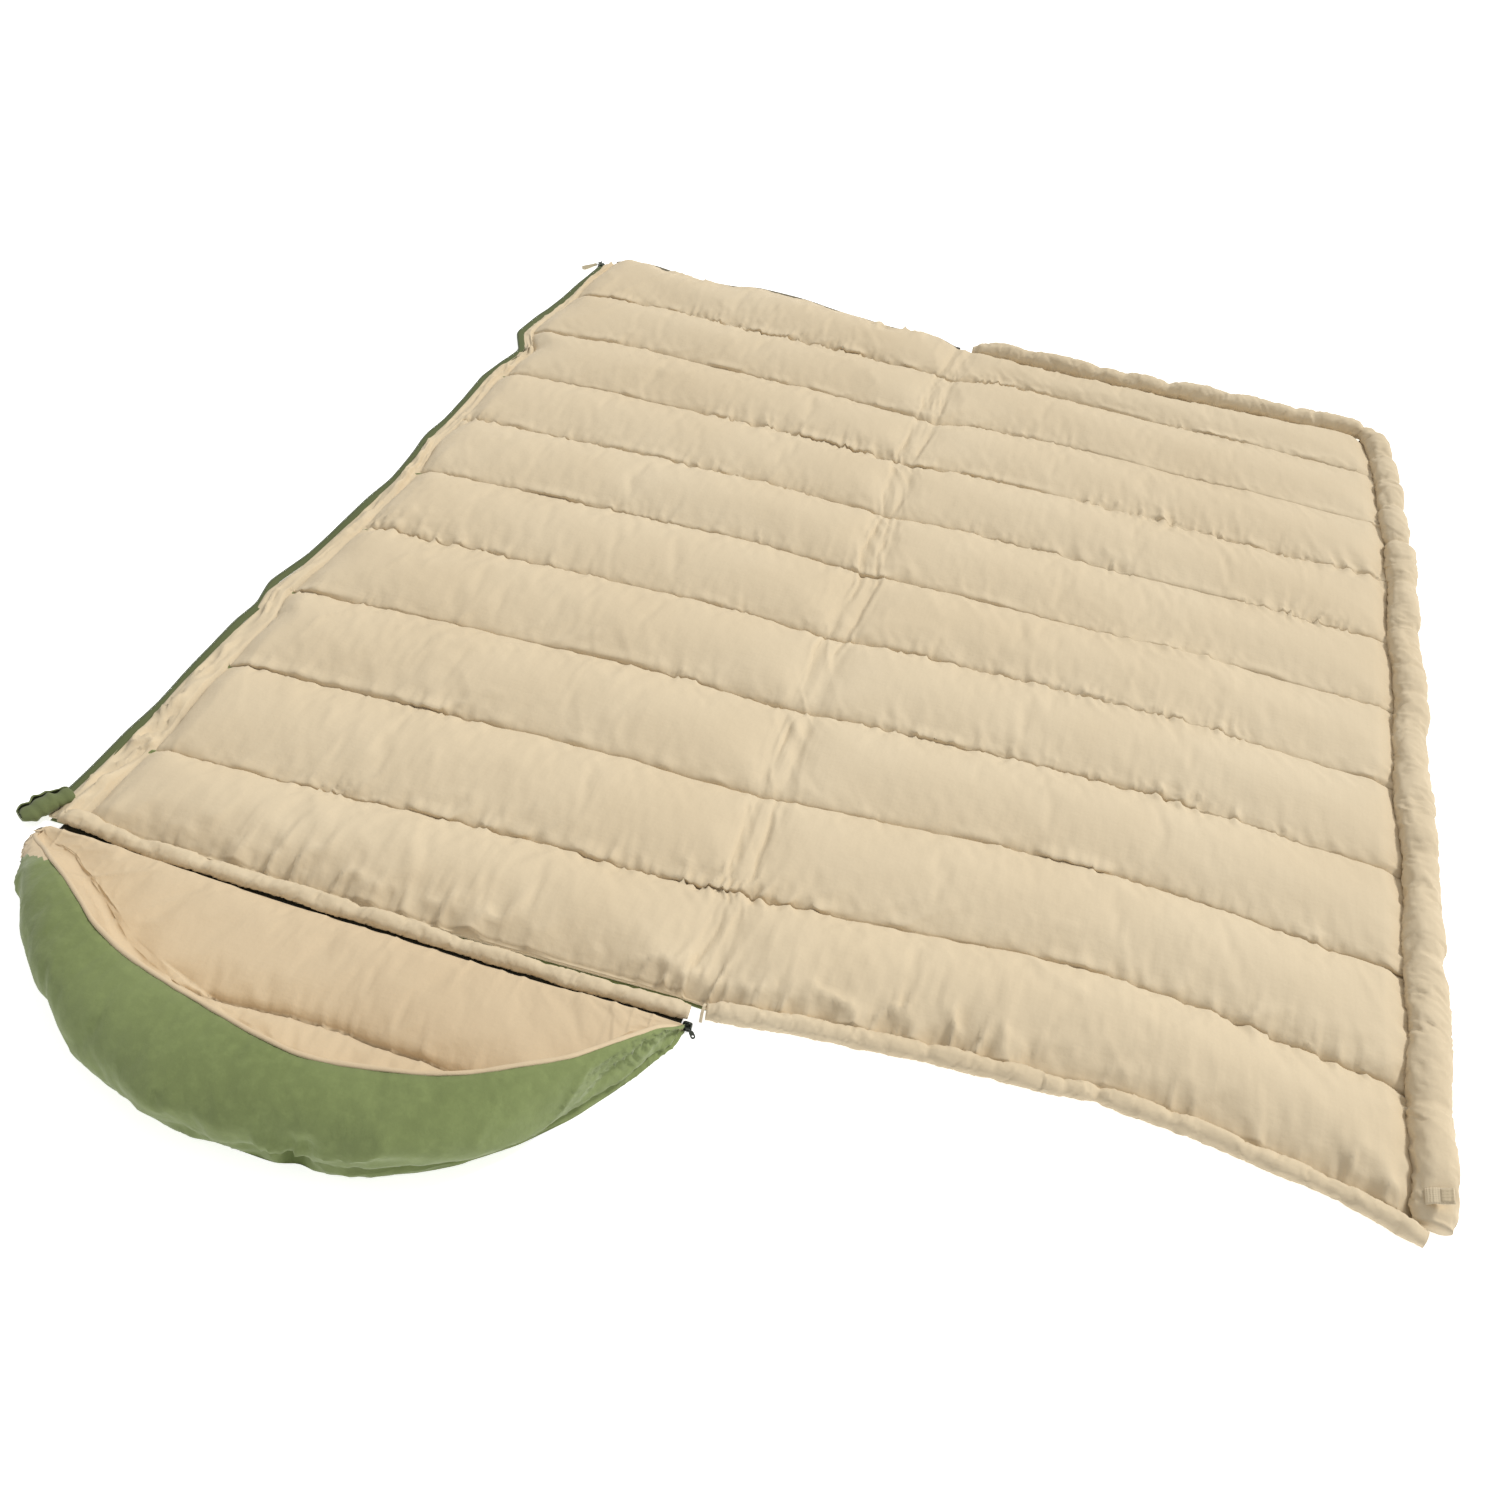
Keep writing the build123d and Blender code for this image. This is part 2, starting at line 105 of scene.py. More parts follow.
def new_object(name, verts, faces, mats, face_mat=None, smooth=True):
    me = bpy.data.meshes.new(name)
    me.from_pydata([tuple(v) for v in verts], [], [tuple(int(i) for i in f) for f in faces])
    me.validate()
    ob = bpy.data.objects.new(name, me)
    bpy.context.scene.collection.objects.link(ob)
    for m in mats:
        me.materials.append(m)
    if face_mat is not None and len(face_mat) == len(me.polygons):
        me.polygons.foreach_set("material_index", np.asarray(face_mat, np.int32))
    if smooth:
        me.polygons.foreach_set("use_smooth", np.ones(len(me.polygons), bool))
    me.update()
    return ob


def grid_faces(n, m, wrap_m=False, flip=False, base=0):
    i = np.arange(n - 1)[:, None]
    j = np.arange(m if wrap_m else m - 1)[None, :]
    j2 = (j + 1) % m
    f = np.stack([i * m + j, (i + 1) * m + j, (i + 1) * m + j2, i * m + j2], -1).reshape(-1, 4) + base
    return f[:, ::-1] if flip else f


def tube(name, rings, mats, face_mat=None, cap=True):
    """A closed tube from rings of points, shape (n, m, 3), capped by a fan at each end."""
    n, m, _ = rings.shape
    verts = rings.reshape(-1, 3)
    faces = [tuple(f) for f in grid_faces(n, m, wrap_m=True)]
    if cap:
        c0, c1 = rings[0].mean(0), rings[-1].mean(0)
        verts = np.vstack([verts, c0, c1])
        k = n * m
        for j in range(m):
            j2 = (j + 1) % m
            faces.append((k, j, j2))
            faces.append((k + 1, (n - 1) * m + j2, (n - 1) * m + j))
    return new_object(name, verts, faces, mats, face_mat)


def face_out(ob):
    bm = bmesh.new()
    bm.from_mesh(ob.data)
    bmesh.ops.recalc_face_normals(bm, faces=bm.faces)
    bm.to_mesh(ob.data)
    bm.free()


def shift(P):
    P = np.array(P, float)
    P[..., 0] += SX
    P[..., 1] += SY
    return P


def path_frames(P):
    T = np.gradient(P, axis=0)
    T /= np.linalg.norm(T, axis=1)[:, None]
    up = np.array([0, 0, 1.0])
    S = np.cross(T, up)
    S /= np.linalg.norm(S, axis=1)[:, None]
    U = np.cross(S, T)
    return T, S, U


def resample(P, step):
    P = np.asarray(P, float)
    d = np.r_[0, np.cumsum(np.linalg.norm(np.diff(P, axis=0), axis=1))]
    n = max(2, int(round(d[-1] / step)) + 1)
    t = np.linspace(0, d[-1], n)
    return np.stack([np.interp(t, d, P[:, k]) for k in range(P.shape[1])], 1), t


def rounded(P, width=0.01, n=5):
    """Averages a dense line with itself to round its corners, keeping its ends."""
    P = P.copy()
    for _ in range(n):
        P[1:-1] = 0.25 * P[:-2] + 0.5 * P[1:-1] + 0.25 * P[2:]
    return P


def cloth(ob, pin, frames=14, pressure=1.5, shrink=(-0.03, -0.03), shrink_w=None, cap=0.02, mass=0.12, tension=12.0, bend=0.25, quality=4, floor=None):
    """Blender's cloth on ob, from its present shape, with the result written into its mesh."""
    me = ob.data
    n = len(me.vertices)
    start = np.zeros(n * 3)
    me.vertices.foreach_get("co", start)
    start = start.reshape(-1, 3)
    g = ob.vertex_groups.new(name="pin")
    vals = np.round(np.asarray(pin, float), 2)
    for v in np.unique(vals):
        if v > 0:
            g.add(np.nonzero(vals == v)[0].tolist(), float(v), "REPLACE")
    md = ob.modifiers.new("cloth", "CLOTH")
    st = md.settings
    st.quality = quality
    st.mass = mass
    st.tension_stiffness = tension
    st.compression_stiffness = tension
    st.shear_stiffness = tension * 0.5
    st.bending_stiffness = bend
    st.tension_damping = 8
    st.compression_damping = 8
    st.shear_damping = 8
    st.bending_damping = 0.6
    st.air_damping = 2.0
    st.vertex_group_mass = "pin"
    st.pin_stiffness = 5.0
    st.shrink_min, st.shrink_max = shrink
    if shrink_w is not None:
        g2 = ob.vertex_groups.new(name="shr")
        sv = np.round(np.asarray(shrink_w, float), 2)
        for v in np.unique(sv):
            if v > 0:
                g2.add(np.nonzero(sv == v)[0].tolist(), float(v), "REPLACE")
        st.vertex_group_shrink = "shr"
    st.use_pressure = pressure != 0
    st.uniform_pressure_force = pressure
    st.effector_weights.gravity = 0
    md.collision_settings.use_collision = False
    md.collision_settings.use_self_collision = False
    md.point_cache.frame_start = 1
    md.point_cache.frame_end = frames + 1
    sc = bpy.context.scene
    for k in range(1, frames + 1):
        sc.frame_set(k)
    dg = bpy.context.evaluated_depsgraph_get()
    ev = ob.evaluated_get(dg)
    m2 = ev.to_mesh()
    co = np.zeros(n * 3)
    m2.vertices.foreach_get("co", co)
    co = co.reshape(-1, 3)
    ev.to_mesh_clear()
    ob.modifiers.remove(md)
    ob.vertex_groups.clear()
    sc.frame_set(1)
    d = co - start
    L = np.linalg.norm(d, axis=1)
    bad = ~np.isfinite(L)
    d[bad] = 0
    L[bad] = 0
    k = np.where(L > cap, cap / np.maximum(L, 1e-9), 1.0)
    co = start + d * k[:, None]
    if floor is not None:
        co[:, 2] = np.maximum(co[:, 2], floor)
    me.vertices.foreach_set("co", co.ravel())
    me.update()
    print("cloth", ob.name, n, "mean move mm", round(float(L.mean() * 1000), 2), "max", round(float(L.max() * 1000), 2))


# ---------------------------------------------------------------- materials
def material(name, color, rough=0.8, sheen=0.0, metallic=0.0, coat=0.0, spec=0.5):
    m = bpy.data.materials.new(name)
    m.use_nodes = True
    nt = m.node_tree
    b = nt.nodes["Principled BSDF"]
    b.inputs["Base Color"].default_value = (*color, 1)
    b.inputs["Roughness"].default_value = rough
    b.inputs["Metallic"].default_value = metallic
    b.inputs["Specular IOR Level"].default_value = spec
    if sheen:
        b.inputs["Sheen Weight"].default_value = sheen
        b.inputs["Sheen Roughness"].default_value = 0.45
    if coat:
        b.inputs["Coat Weight"].default_value = coat
    return m, nt, b


def srgb(r, g, b):
    return tuple(((c / 255.0) / 12.92 if c / 255.0 <= 0.04045 else ((c / 255.0 + 0.055) / 1.055) ** 2.4) for c in (r, g, b))


def mix_color(nt, fac, a, b, blend="MIX"):
    n = nt.nodes.new("ShaderNodeMix")
    n.data_type = "RGBA"
    n.blend_type = blend
    for sock, val in (("Factor", fac), ("A", a), ("B", b)):
        s = [i for i in n.inputs if i.name == sock and (i.type == ("VALUE" if sock == "Factor" else "RGBA"))][0]
        if hasattr(val, "is_linked") or hasattr(val, "node"):
            nt.links.new(val, s)
        elif sock == "Factor":
            s.default_value = val
        else:
            s.default_value = (*val, 1)
    return [o for o in n.outputs if o.type == "RGBA"][0]


def maths(nt, op, a, b=None, clamp=False):
    n = nt.nodes.new("ShaderNodeMath")
    n.operation = op
    n.use_clamp = clamp
    for k, v in ((0, a), (1, b)):
        if v is None:
            continue
        if isinstance(v, (int, float)):
            n.inputs[k].default_value = v
        else:
            nt.links.new(v, n.inputs[k])
    return n.outputs[0]


def noise(nt, vec, scale, detail=3.0, rough=0.5):
    n = nt.nodes.new("ShaderNodeTexNoise")
    n.inputs["Scale"].default_value = scale
    n.inputs["Detail"].default_value = detail
    n.inputs["Roughness"].default_value = rough
    if vec is not None:
        nt.links.new(vec, n.inputs["Vector"])
    return n.outputs[0]


def ramp(nt, fac, lo, hi, a=0.0, b=1.0):
    n = nt.nodes.new("ShaderNodeMapRange")
    n.inputs["From Min"].default_value = lo
    n.inputs["From Max"].default_value = hi
    n.inputs["To Min"].default_value = a
    n.inputs["To Max"].default_value = b
    nt.links.new(fac, n.inputs["Value"])
    return n.outputs[0]


def fabric(name, base, dark, light, rough, sheen, weave=900.0, weave_bump=0.15, wrinkle=0.35, pile=0.0, seam_and_shade=False, mottle=0.0):
    m, nt, b = material(name, base, rough, sheen, spec=0.25)
    tc = nt.nodes.new("ShaderNodeTexCoord")
    obj = tc.outputs["Object"]
    big = noise(nt, obj, 2.2, 3.0, 0.55)
    mid = noise(nt, obj, 26.0, 4.0, 0.6)
    fine = noise(nt, obj, 420.0, 2.0, 0.6)
    col = mix_color(nt, ramp(nt, big, 0.3, 0.7), dark, light)
    col = mix_color(nt, ramp(nt, mid, 0.25, 0.75, 0.0, 0.35), col, base)
    col = mix_color(nt, ramp(nt, fine, 0.3, 0.7, 0.0, 0.10), col, tuple(c * 0.72 for c in base))
    if mottle:
        # a brushed pile lies in patches, lighter and darker by its nap
        nap = noise(nt, obj, 7.0, 4.0, 0.62)
        col = mix_color(nt, ramp(nt, nap, 0.42, 0.62, 0.0, 0.55 * mottle), col, tuple(c * 0.84 for c in base))
        nap2 = noise(nt, obj, 70.0, 3.0, 0.6)
        col = mix_color(nt, ramp(nt, nap2, 0.45, 0.75, 0.0, 0.40 * mottle), col, tuple(min(1.0, c * 1.22) for c in base))
    # plain weave: two crossed sets of threads
    mp = nt.nodes.new("ShaderNodeMapping")
    mp.inputs["Scale"].default_value = (1, 1, 1)
    nt.links.new(obj, mp.inputs["Vector"])
    waves = []
    for d in ("X", "Y", "Z"):
        w = nt.nodes.new("ShaderNodeTexWave")
        w.bands_direction = d
        w.inputs["Scale"].default_value = weave / 20.0
        w.inputs["Distortion"].default_value = 0.6
        w.inputs["Detail"].default_value = 1.0
        nt.links.new(mp.outputs[0], w.inputs["Vector"])
        waves.append(w.outputs["Fac"])
    wsum = maths(nt, "ADD", maths(nt, "ADD", waves[0], waves[1]), waves[2])
    height = maths(nt, "MULTIPLY", wsum, weave_bump)
    height = maths(nt, "ADD", height, maths(nt, "MULTIPLY", fine, 0.25 + pile))
    if seam_and_shade:
        at = nt.nodes.new("ShaderNodeAttribute")
        at.attribute_name = "seam_and_shade"
        s = at.outputs["Fac"]  # 1 at a stitched line, 0 away from it
        line = ramp(nt, s, 0.55, 1.0)
        st = nt.nodes.new("ShaderNodeAttribute")
        st.attribute_name = "along"
        dash = maths(nt, "GREATER_THAN", maths(nt, "SINE", maths(nt, "MULTIPLY", st.outputs["Fac"], 2 * math.pi / 0.0036)), -0.35)
        # painted shade: along the stitched lines the colour is darkened to a warm brown, standing in for the shade in
        # the sewn groove; the lighter dashes below are the thread
        col = mix_color(nt, maths(nt, "MULTIPLY", ramp(nt, s, 0.10, 1.0), 0.62), col, tuple(c * k for c, k in zip(base, (0.50, 0.44, 0.36))))
        thread = maths(nt, "MULTIPLY", ramp(nt, s, 0.93, 0.99), dash)
        col = mix_color(nt, maths(nt, "MULTIPLY", thread, 0.5), col, tuple(min(1.0, c * 1.05) for c in base))
        height = maths(nt, "SUBTRACT", height, maths(nt, "MULTIPLY", line, 1.2))
        height = maths(nt, "ADD", height, maths(nt, "MULTIPLY", thread, 0.9))
    nt.links.new(col, b.inputs["Base Color"])
    bump = nt.nodes.new("ShaderNodeBump")
    bump.inputs["Strength"].default_value = 0.35
    bump.inputs["Distance"].default_value = 0.0006
    nt.links.new(height, bump.inputs["Height"])
    bump2 = nt.nodes.new("ShaderNodeBump")
    bump2.inputs["Strength"].default_value = wrinkle
    bump2.inputs["Distance"].default_value = 0.004
    nt.links.new(noise(nt, obj, 55.0, 3.0, 0.55), bump2.inputs["Height"])
    nt.links.new(bump2.outputs[0], bump.inputs["Normal"])
    nt.links.new(bump.outputs[0], b.inputs["Normal"])
    rr = ramp(nt, mid, 0.2, 0.8, rough - 0.05, min(1.0, rough + 0.06))
    nt.links.new(rr, b.inputs["Roughness"])
    return m


BEIGE = srgb(214, 197, 167)
LINING = fabric("lining_cotton", BEIGE, srgb(211, 193, 162), srgb(217, 201, 172), 0.86, 0.08, seam_and_shade=True, wrinkle=0.22)
HOODLIN = fabric("lining_hood", srgb(209, 189, 157), srgb(205, 184, 152), srgb(213, 194, 163), 0.86, 0.08, seam_and_shade=True, wrinkle=0.22)
TUBEMAT = fabric("lining_tube", srgb(213, 196, 166), srgb(208, 190, 159), srgb(218, 202, 173), 0.86, 0.08, wrinkle=0.30)
GREEN = fabric("shell_microfibre", srgb(127, 139, 89), srgb(113, 125, 77), srgb(140, 152, 102), 0.93, 0.20, weave=1300.0, weave_bump=0.05, wrinkle=0.30, pile=0.5, mottle=1.0)
SHELLGREEN = fabric("shell_microfibre_quilted", srgb(127, 139, 89), srgb(113, 125, 77), srgb(140, 152, 102), 0.93, 0.20, weave=1300.0, weave_bump=0.05, wrinkle=0.30, pile=0.5, mottle=1.0, seam_and_shade=True)
GREENDK = fabric("garage_microfibre", srgb(108, 117, 76), srgb(98, 107, 68), srgb(118, 127, 85), 0.93, 0.18, weave=1300.0, weave_bump=0.05, wrinkle=0.35, pile=0.5, mottle=1.0)
TAPE = fabric("zip_tape_weave", srgb(94, 102, 66), srgb(86, 94, 59), srgb(102, 110, 73), 0.85, 0.05, weave=2200.0, weave_bump=0.6, wrinkle=0.1)
TAPEDARK = fabric("zip_tape_dark", srgb(52, 50, 36), srgb(44, 42, 30), srgb(60, 57, 42), 0.88, 0.03, weave=2200.0, weave_bump=0.6, wrinkle=0.1)
TAPEGREY = fabric("zip_tape_grey", srgb(112, 104, 84), srgb(100, 93, 74), srgb(122, 114, 93), 0.85, 0.1, weave=2200.0, weave_bump=0.6, wrinkle=0.1)
WEB = fabric("tab_webbing", srgb(214, 198, 168), srgb(206, 190, 160), srgb(221, 206, 178), 0.82, 0.1, weave=2600.0, weave_bump=1.0, wrinkle=0.1)


def plain(name, color, rough, metallic=0.0, coat=0.0, scale=300.0, strength=0.2):
    m, nt, b = material(name, color, rough, 0.0, metallic, coat)
    tc = nt.nodes.new("ShaderNodeTexCoord")
    n = noise(nt, tc.outputs["Object"], scale, 3.0, 0.6)
    nt.links.new(mix_color(nt, ramp(nt, n, 0.3, 0.7, 0.0, 0.5), color, tuple(c * 0.8 for c in color)), b.inputs["Base Color"])
    bump = nt.nodes.new("ShaderNodeBump")
    bump.inputs["Strength"].default_value = strength
    bump.inputs["Distance"].default_value = 0.0003
    nt.links.new(n, bump.inputs["Height"])
    nt.links.new(bump.outputs[0], b.inputs["Normal"])
    nt.links.new(ramp(nt, n, 0.2, 0.8, max(0.05, rough - 0.08), rough + 0.08), b.inputs["Roughness"])
    return m


COIL = plain("zip_coil_nylon", srgb(76, 86, 54), 0.42, coat=0.2)
COILDARK = plain("zip_coil_dark", srgb(38, 38, 30), 0.42, coat=0.2)
COILGREY = plain("zip_coil_grey", srgb(98, 92, 76), 0.42, coat=0.2)
ENAMEL = plain("slider_enamel", srgb(52, 66, 46), 0.38, 0.4, 0.3)
METAL = plain("plated_metal", srgb(168, 168, 162), 0.28, 1.0)
DARKMETAL = plain("dark_metal", srgb(70, 74, 68), 0.34, 0.9)
PULL = plain("pull_rubber", srgb(186, 174, 143), 0.62, scale=500)
LOOP = fabric("hook_and_loop", srgb(204, 188, 157), srgb(196, 179, 148), srgb(212, 196, 166), 0.95, 0.3, weave=1500.0, weave_bump=1.2, pile=1.5)

# ---------------------------------------------------------------- layout of the halves
SEAM_L = {
    0: [(-0.90, 0.012), (-0.872, 0.034), (-0.832, 0.070), (-0.779, 0.074), (-0.675, 0.050), (-0.565, 0.053), (-0.529, 0.074), (-0.384, 0.064), (-0.199, 0.020), (-0.085, 0.030), (-0.03, -0.008), (0.02, -0.012)],
    1: [(-0.874, -0.168), (-0.687, -0.139), (-0.454, -0.15), (-0.222, -0.152), (-0.041, -0.17), (0.0, -0.178)],
    5: [(-0.87, -0.975), (-0.825, -0.969), (-0.482, -0.948), (-0.215, -0.938), (-0.013, -0.957)],
    9: [(-0.861, -1.776), (-0.6, -1.765), (-0.331, -1.746), (-0.017, -1.738)],
    10: [(-0.869, -1.930), (-0.666, -1.922), (-0.4, -1.922), (-0.138, -1.914), (0.002, -1.908)],
}
SEAM_R = {
    0: [(-0.03, -0.008), (0.02, -0.012), (0.15, -0.022), (0.441, -0.022), (0.762, -0.006), (0.862, -0.02)],
    1: [(-0.024, -0.182), (0.092, -0.144), (0.289, -0.146), (0.386, -0.159), (0.568, -0.173), (0.858, -0.188)],
    5: [(-0.013, -0.957), (0.045, -0.947), (0.119, -0.946), (0.229, -0.946), (0.456, -0.956), (0.561, -0.953), (0.855, -0.967)],
    9: [(-0.017, -1.738), (0.019, -1.733), (0.17, -1.715), (0.269, -1.704), (0.373, -1.693), (0.472, -1.688), (0.613, -1.698), (0.772, -1.722), (0.864, -1.731)],
    10: [(0.0, -1.910), (0.021, -1.912), (0.146, -1.893), (0.299, -1.876), (0.378, -1.873), (0.45, -1.866), (0.49, -1.858), (0.545, -1.862), (0.678, -1.875), (0.768, -1.890), (0.850, -1.912)],
}
CENTRE_Y = [-0.179, -0.378, -0.562, -0.758, -0.958, -1.152, -1.35, -1.546, -1.738]
ZIP_LINE = [(0.047, -0.880), (0.02, -0.8885), (-0.03, -0.891), (-0.197, -0.897), (-0.30, -0.906), (-0.379, -0.913), (-0.451, -0.880), (-0.52, -0.890), (-0.589, -0.897), (-0.687, -0.890), (-0.842, -0.889), (-1.002, -0.879), (-1.15, -0.884), (-1.281, -0.889), (-1.365, -0.903), (-1.42, -0.891), (-1.477, -0.896), (-1.571, -0.895), (-1.687, -0.889), (-1.786, -0.889), (-1.85, -0.891), (-1.90, -0.893), (-1.96, -0.895)]
RIGHT_LINE = [(0.02, 0.855), (-0.02, 0.858), (-0.114, 0.866), (-0.245, 0.872), (-0.385, 0.876), (-0.501, 0.878), (-0.639, 0.878), (-0.811, 0.876), (-0.926, 0.875), (-1.395, 0.868), (-1.544, 0.866), (-1.752, 0.860), (-1.91, 0.853)]


def zip_x(y):
    return smooth_line(ZIP_LINE, y, 0.010) + 0.0022 * vn(np.asarray(y, float) * 13, 0, 62)


def right_x(y):
    return smooth_line(RIGHT_LINE, y, 0.04)


def seam_curve(k, x):
    """y of seam k at x, from the traced seams and interpolated ones between."""
    x = np.asarray(x, float)
    left = x < -0.012

    def side(table):
        keys = sorted(table)
        if k in table:
            y = smooth_line(table[k], x, 0.02)
        else:
            a = max(q for q in keys if q < k)
            b = min(q for q in keys if q > k)
            f = (k - a) / (b - a)
            ya = smooth_line(table[a], x, 0.03) if a else np.full_like(x, 0.02)
            yb = smooth_line(table[b], x, 0.03)
            y = ya * (1 - f) + yb * f
            yc = (smooth_line(table[a], np.array(-0.015), 0.0) * (1 - f) + smooth_line(table[b], np.array(-0.015), 0.0) * f)
            y = y + (CENTRE_Y[k - 1] - yc) * np.exp(-np.abs(x + 0.015) / 0.25)
        return y

    y = np.where(left, side(SEAM_L), side(SEAM_R))
    if 0 < k < 10:
        y = y + 0.0022 * vn(x * 14, np.full_like(x, k * 3.7), 5) + 0.0012 * vn(x * 45, np.full_like(x, k * 1.3), 6)
    return y


CENTRE_X = [(0.05, -0.009), (0.005, -0.009), (-0.175, -0.026), (-0.374, -0.024), (-0.559, -0.030), (-0.755, -0.020), (-0.955, -0.010), (-1.149, -0.014), (-1.347, -0.018), (-1.544, -0.012), (-1.736, -0.001), (-1.95, 0.004)]

# columns: a facing strip beside the zip, the left quilting, the fold strip, the right quilting
FACE_W = [(0.05, 0.014), (-0.25, 0.018), (-0.60, 0.022), (-1.00, 0.028), (-1.40, 0.034), (-1.70, 0.040), (-1.95, 0.044)]
HALF_W = 0.0165


def graded(length, near, far, grow, ends):
    """Fractions 0..1 along a length, with short steps near its ends and longer ones between."""
    d, out = 0.0, [0.0]
    step = near
    while d < length:
        left = d if ends[0] else 9.0
        right = (length - d) if ends[1] else 9.0
        step = min(far, near + grow * min(left, right))
        d += step
        out.append(d)
    out = np.array(out)
    return out / out[-1]


def grid_layout(uF, uL, uC, uR, fr):
    """Plan of the quilting on a grid: X, Y, the chamber and fraction of each row, and the parts' first columns."""
    kk = np.r_[np.repeat(np.arange(10), len(fr) - 1), 9]
    ff = np.r_[np.tile(fr[:-1], 10), 1.0]
    yg = np.interp(kk + ff, [0] + list(range(1, 10)) + [10], [0.02] + CENTRE_Y + [-1.915])
    xz = zip_x(yg) + 0.0065
    xr = right_x(yg)
    xc = smooth_line(CENTRE_X, yg, 0.02)
    x1, x2, x3 = xz + interp(FACE_W, yg) + 0.0035 * vn(yg * 9, 0, 61), xc - HALF_W, xc + HALF_W
    cols = [xz + (x1 - xz) * u for u in uF[:-1]] + [x1 + (x2 - x1) * u for u in uL[:-1]] + [x2 + 2 * HALF_W * u for u in uC[:-1]] + [x3 + (xr - x3) * u for u in uR]
    X = np.stack(cols, 1)
    Y = np.zeros_like(X)
    for i in range(len(kk)):
        Y[i] = seam_curve(int(kk[i]), X[i]) * (1 - ff[i]) + seam_curve(int(kk[i]) + 1, X[i]) * ff[i]
    a, b, c = len(uF) - 1, len(uL) - 1, len(uC) - 1
    return X, Y, kk, ff, xz, xr, xc, x1, (0, a, a + b, a + b + c)


CS = 1
cF, cL, cC, cR = np.linspace(0, 1, 7), np.linspace(0, 1, 100 // CS + 1), np.linspace(0, 1, 5), np.linspace(0, 1, 108 // CS + 1)
cfr = np.linspace(0, 1, 24 // CS + 1)
X, Y, kk, ff, xz, xr, xc, x1, (iF, iL, iC, iR) = grid_layout(cF, cL, cC, cR, cfr)
nrow, ncol = X.shape


def base_height(X, Y, kk, ff, xz, xr, xc, x1):
    d_left = X - x1[:, None]
    d_right = xr[:, None] - X
    d_foot = np.abs(Y - Y[0][None, :])
    d_head = np.abs(Y - Y[-1][None, :])
    f2, K2 = ff[:, None], kk[:, None]
    side = np.abs(2 * f2 - 1)
    soft = 5.6 + 1.8 * vn(X * 4, K2 * 3.3, 33)
    crown = 1 - side ** soft
    seam0 = 0.0132 + 0.0014 * vn(X * 9, K2 * 5.1, 31)
    top = 0.0275 + 0.0022 * vn(X * 3.1, K2 * 2.3, 11) + 0.0012 * vn(X * 9, (K2 + f2) * 2, 12)
    Z = seam0 + (top - seam0) * crown
    xm = X - xc[:, None]
    Z = Z - 0.0030 * np.exp(-(((np.abs(xm) - HALF_W) / 0.012) ** 2)) * (0.4 + 0.6 * crown)
    Z = Z - 0.0022 * np.exp(-((xm / 0.03) ** 2)) * crown
    Z = Z * (0.40 + 0.60 * ss(-0.004, 0.040, d_left)) * (0.50 + 0.50 * ss(0.0, 0.040, d_right))
    Z = Z * (0.50 + 0.50 * ss(0.0, 0.026, d_foot)) * (0.58 + 0.42 * ss(0.0, 0.026, d_head))
    t = np.clip((X - xz[:, None]) / (x1 - xz)[:, None], 0, 1)
    Zf = 0.0064 + 0.006 * t + 0.006 * t * vn(Y * 9, Y * 0, 43)
    return np.where(d_left < -1e-6, np.maximum(Zf, 0.0042), Z)


Z = base_height(X, Y, kk, ff, xz, xr, xc, x1)
P0 = np.stack([X, Y, Z], -1)
top = new_object("top_sheet", shift(P0).reshape(-1, 3), grid_faces(nrow, ncol, flip=False), [LINING])
pin = np.zeros((nrow, ncol))
seam_rows = [i for i in range(nrow) if ff[i] == 0.0 or i == nrow - 1]
pin[seam_rows, :] = 1.0
pin[:, 0] = pin[:, -1] = 1.0
pin[:, iL] = np.maximum(pin[:, iL], 0.55)
pin[:, iC] = np.maximum(pin[:, iC], 0.7)
pin[:, iR] = np.maximum(pin[:, iR], 0.7)
shr = 0.5 + 0.5 * fbm(X * 5, Y * 6, 71, 2)
near = np.exp(-np.minimum(np.abs(ff[:, None]), np.abs(1 - ff[:, None])) * 198 / 36)
shr = np.clip(0.15 + 0.85 * near * (0.45 + 0.9 * shr), 0, 1)
shr[:, :iL] = 1.0
cloth(top, pin.ravel(), frames=14, pressure=0.9, shrink=(-0.004, -0.026), shrink_w=shr.ravel(), cap=0.011, bend=0.10)
co = np.zeros(nrow * ncol * 3)
top.data.vertices.foreach_get("co", co)
D = co.reshape(nrow, ncol, 3) - shift(P0)
bpy.data.objects.remove(top)


def spline_at(A, p, axis):
    """Catmull-Rom samples of A along an axis at positions p (in grid steps)."""
    n = A.shape[axis]
    i = np.clip(np.floor(p).astype(int), 0, n - 2)
    t = (p - i).reshape([-1 if a == axis else 1 for a in range(A.ndim)])
    g = lambda k: np.take(A, np.clip(i + k, 0, n - 1), axis=axis)
    a, b, c, d = g(-1), g(0), g(1), g(2)
    return b + 0.5 * t * (c - a + t * (2 * a - 5 * b + 4 * c - d + t * (3 * (b - c) + d - a)))


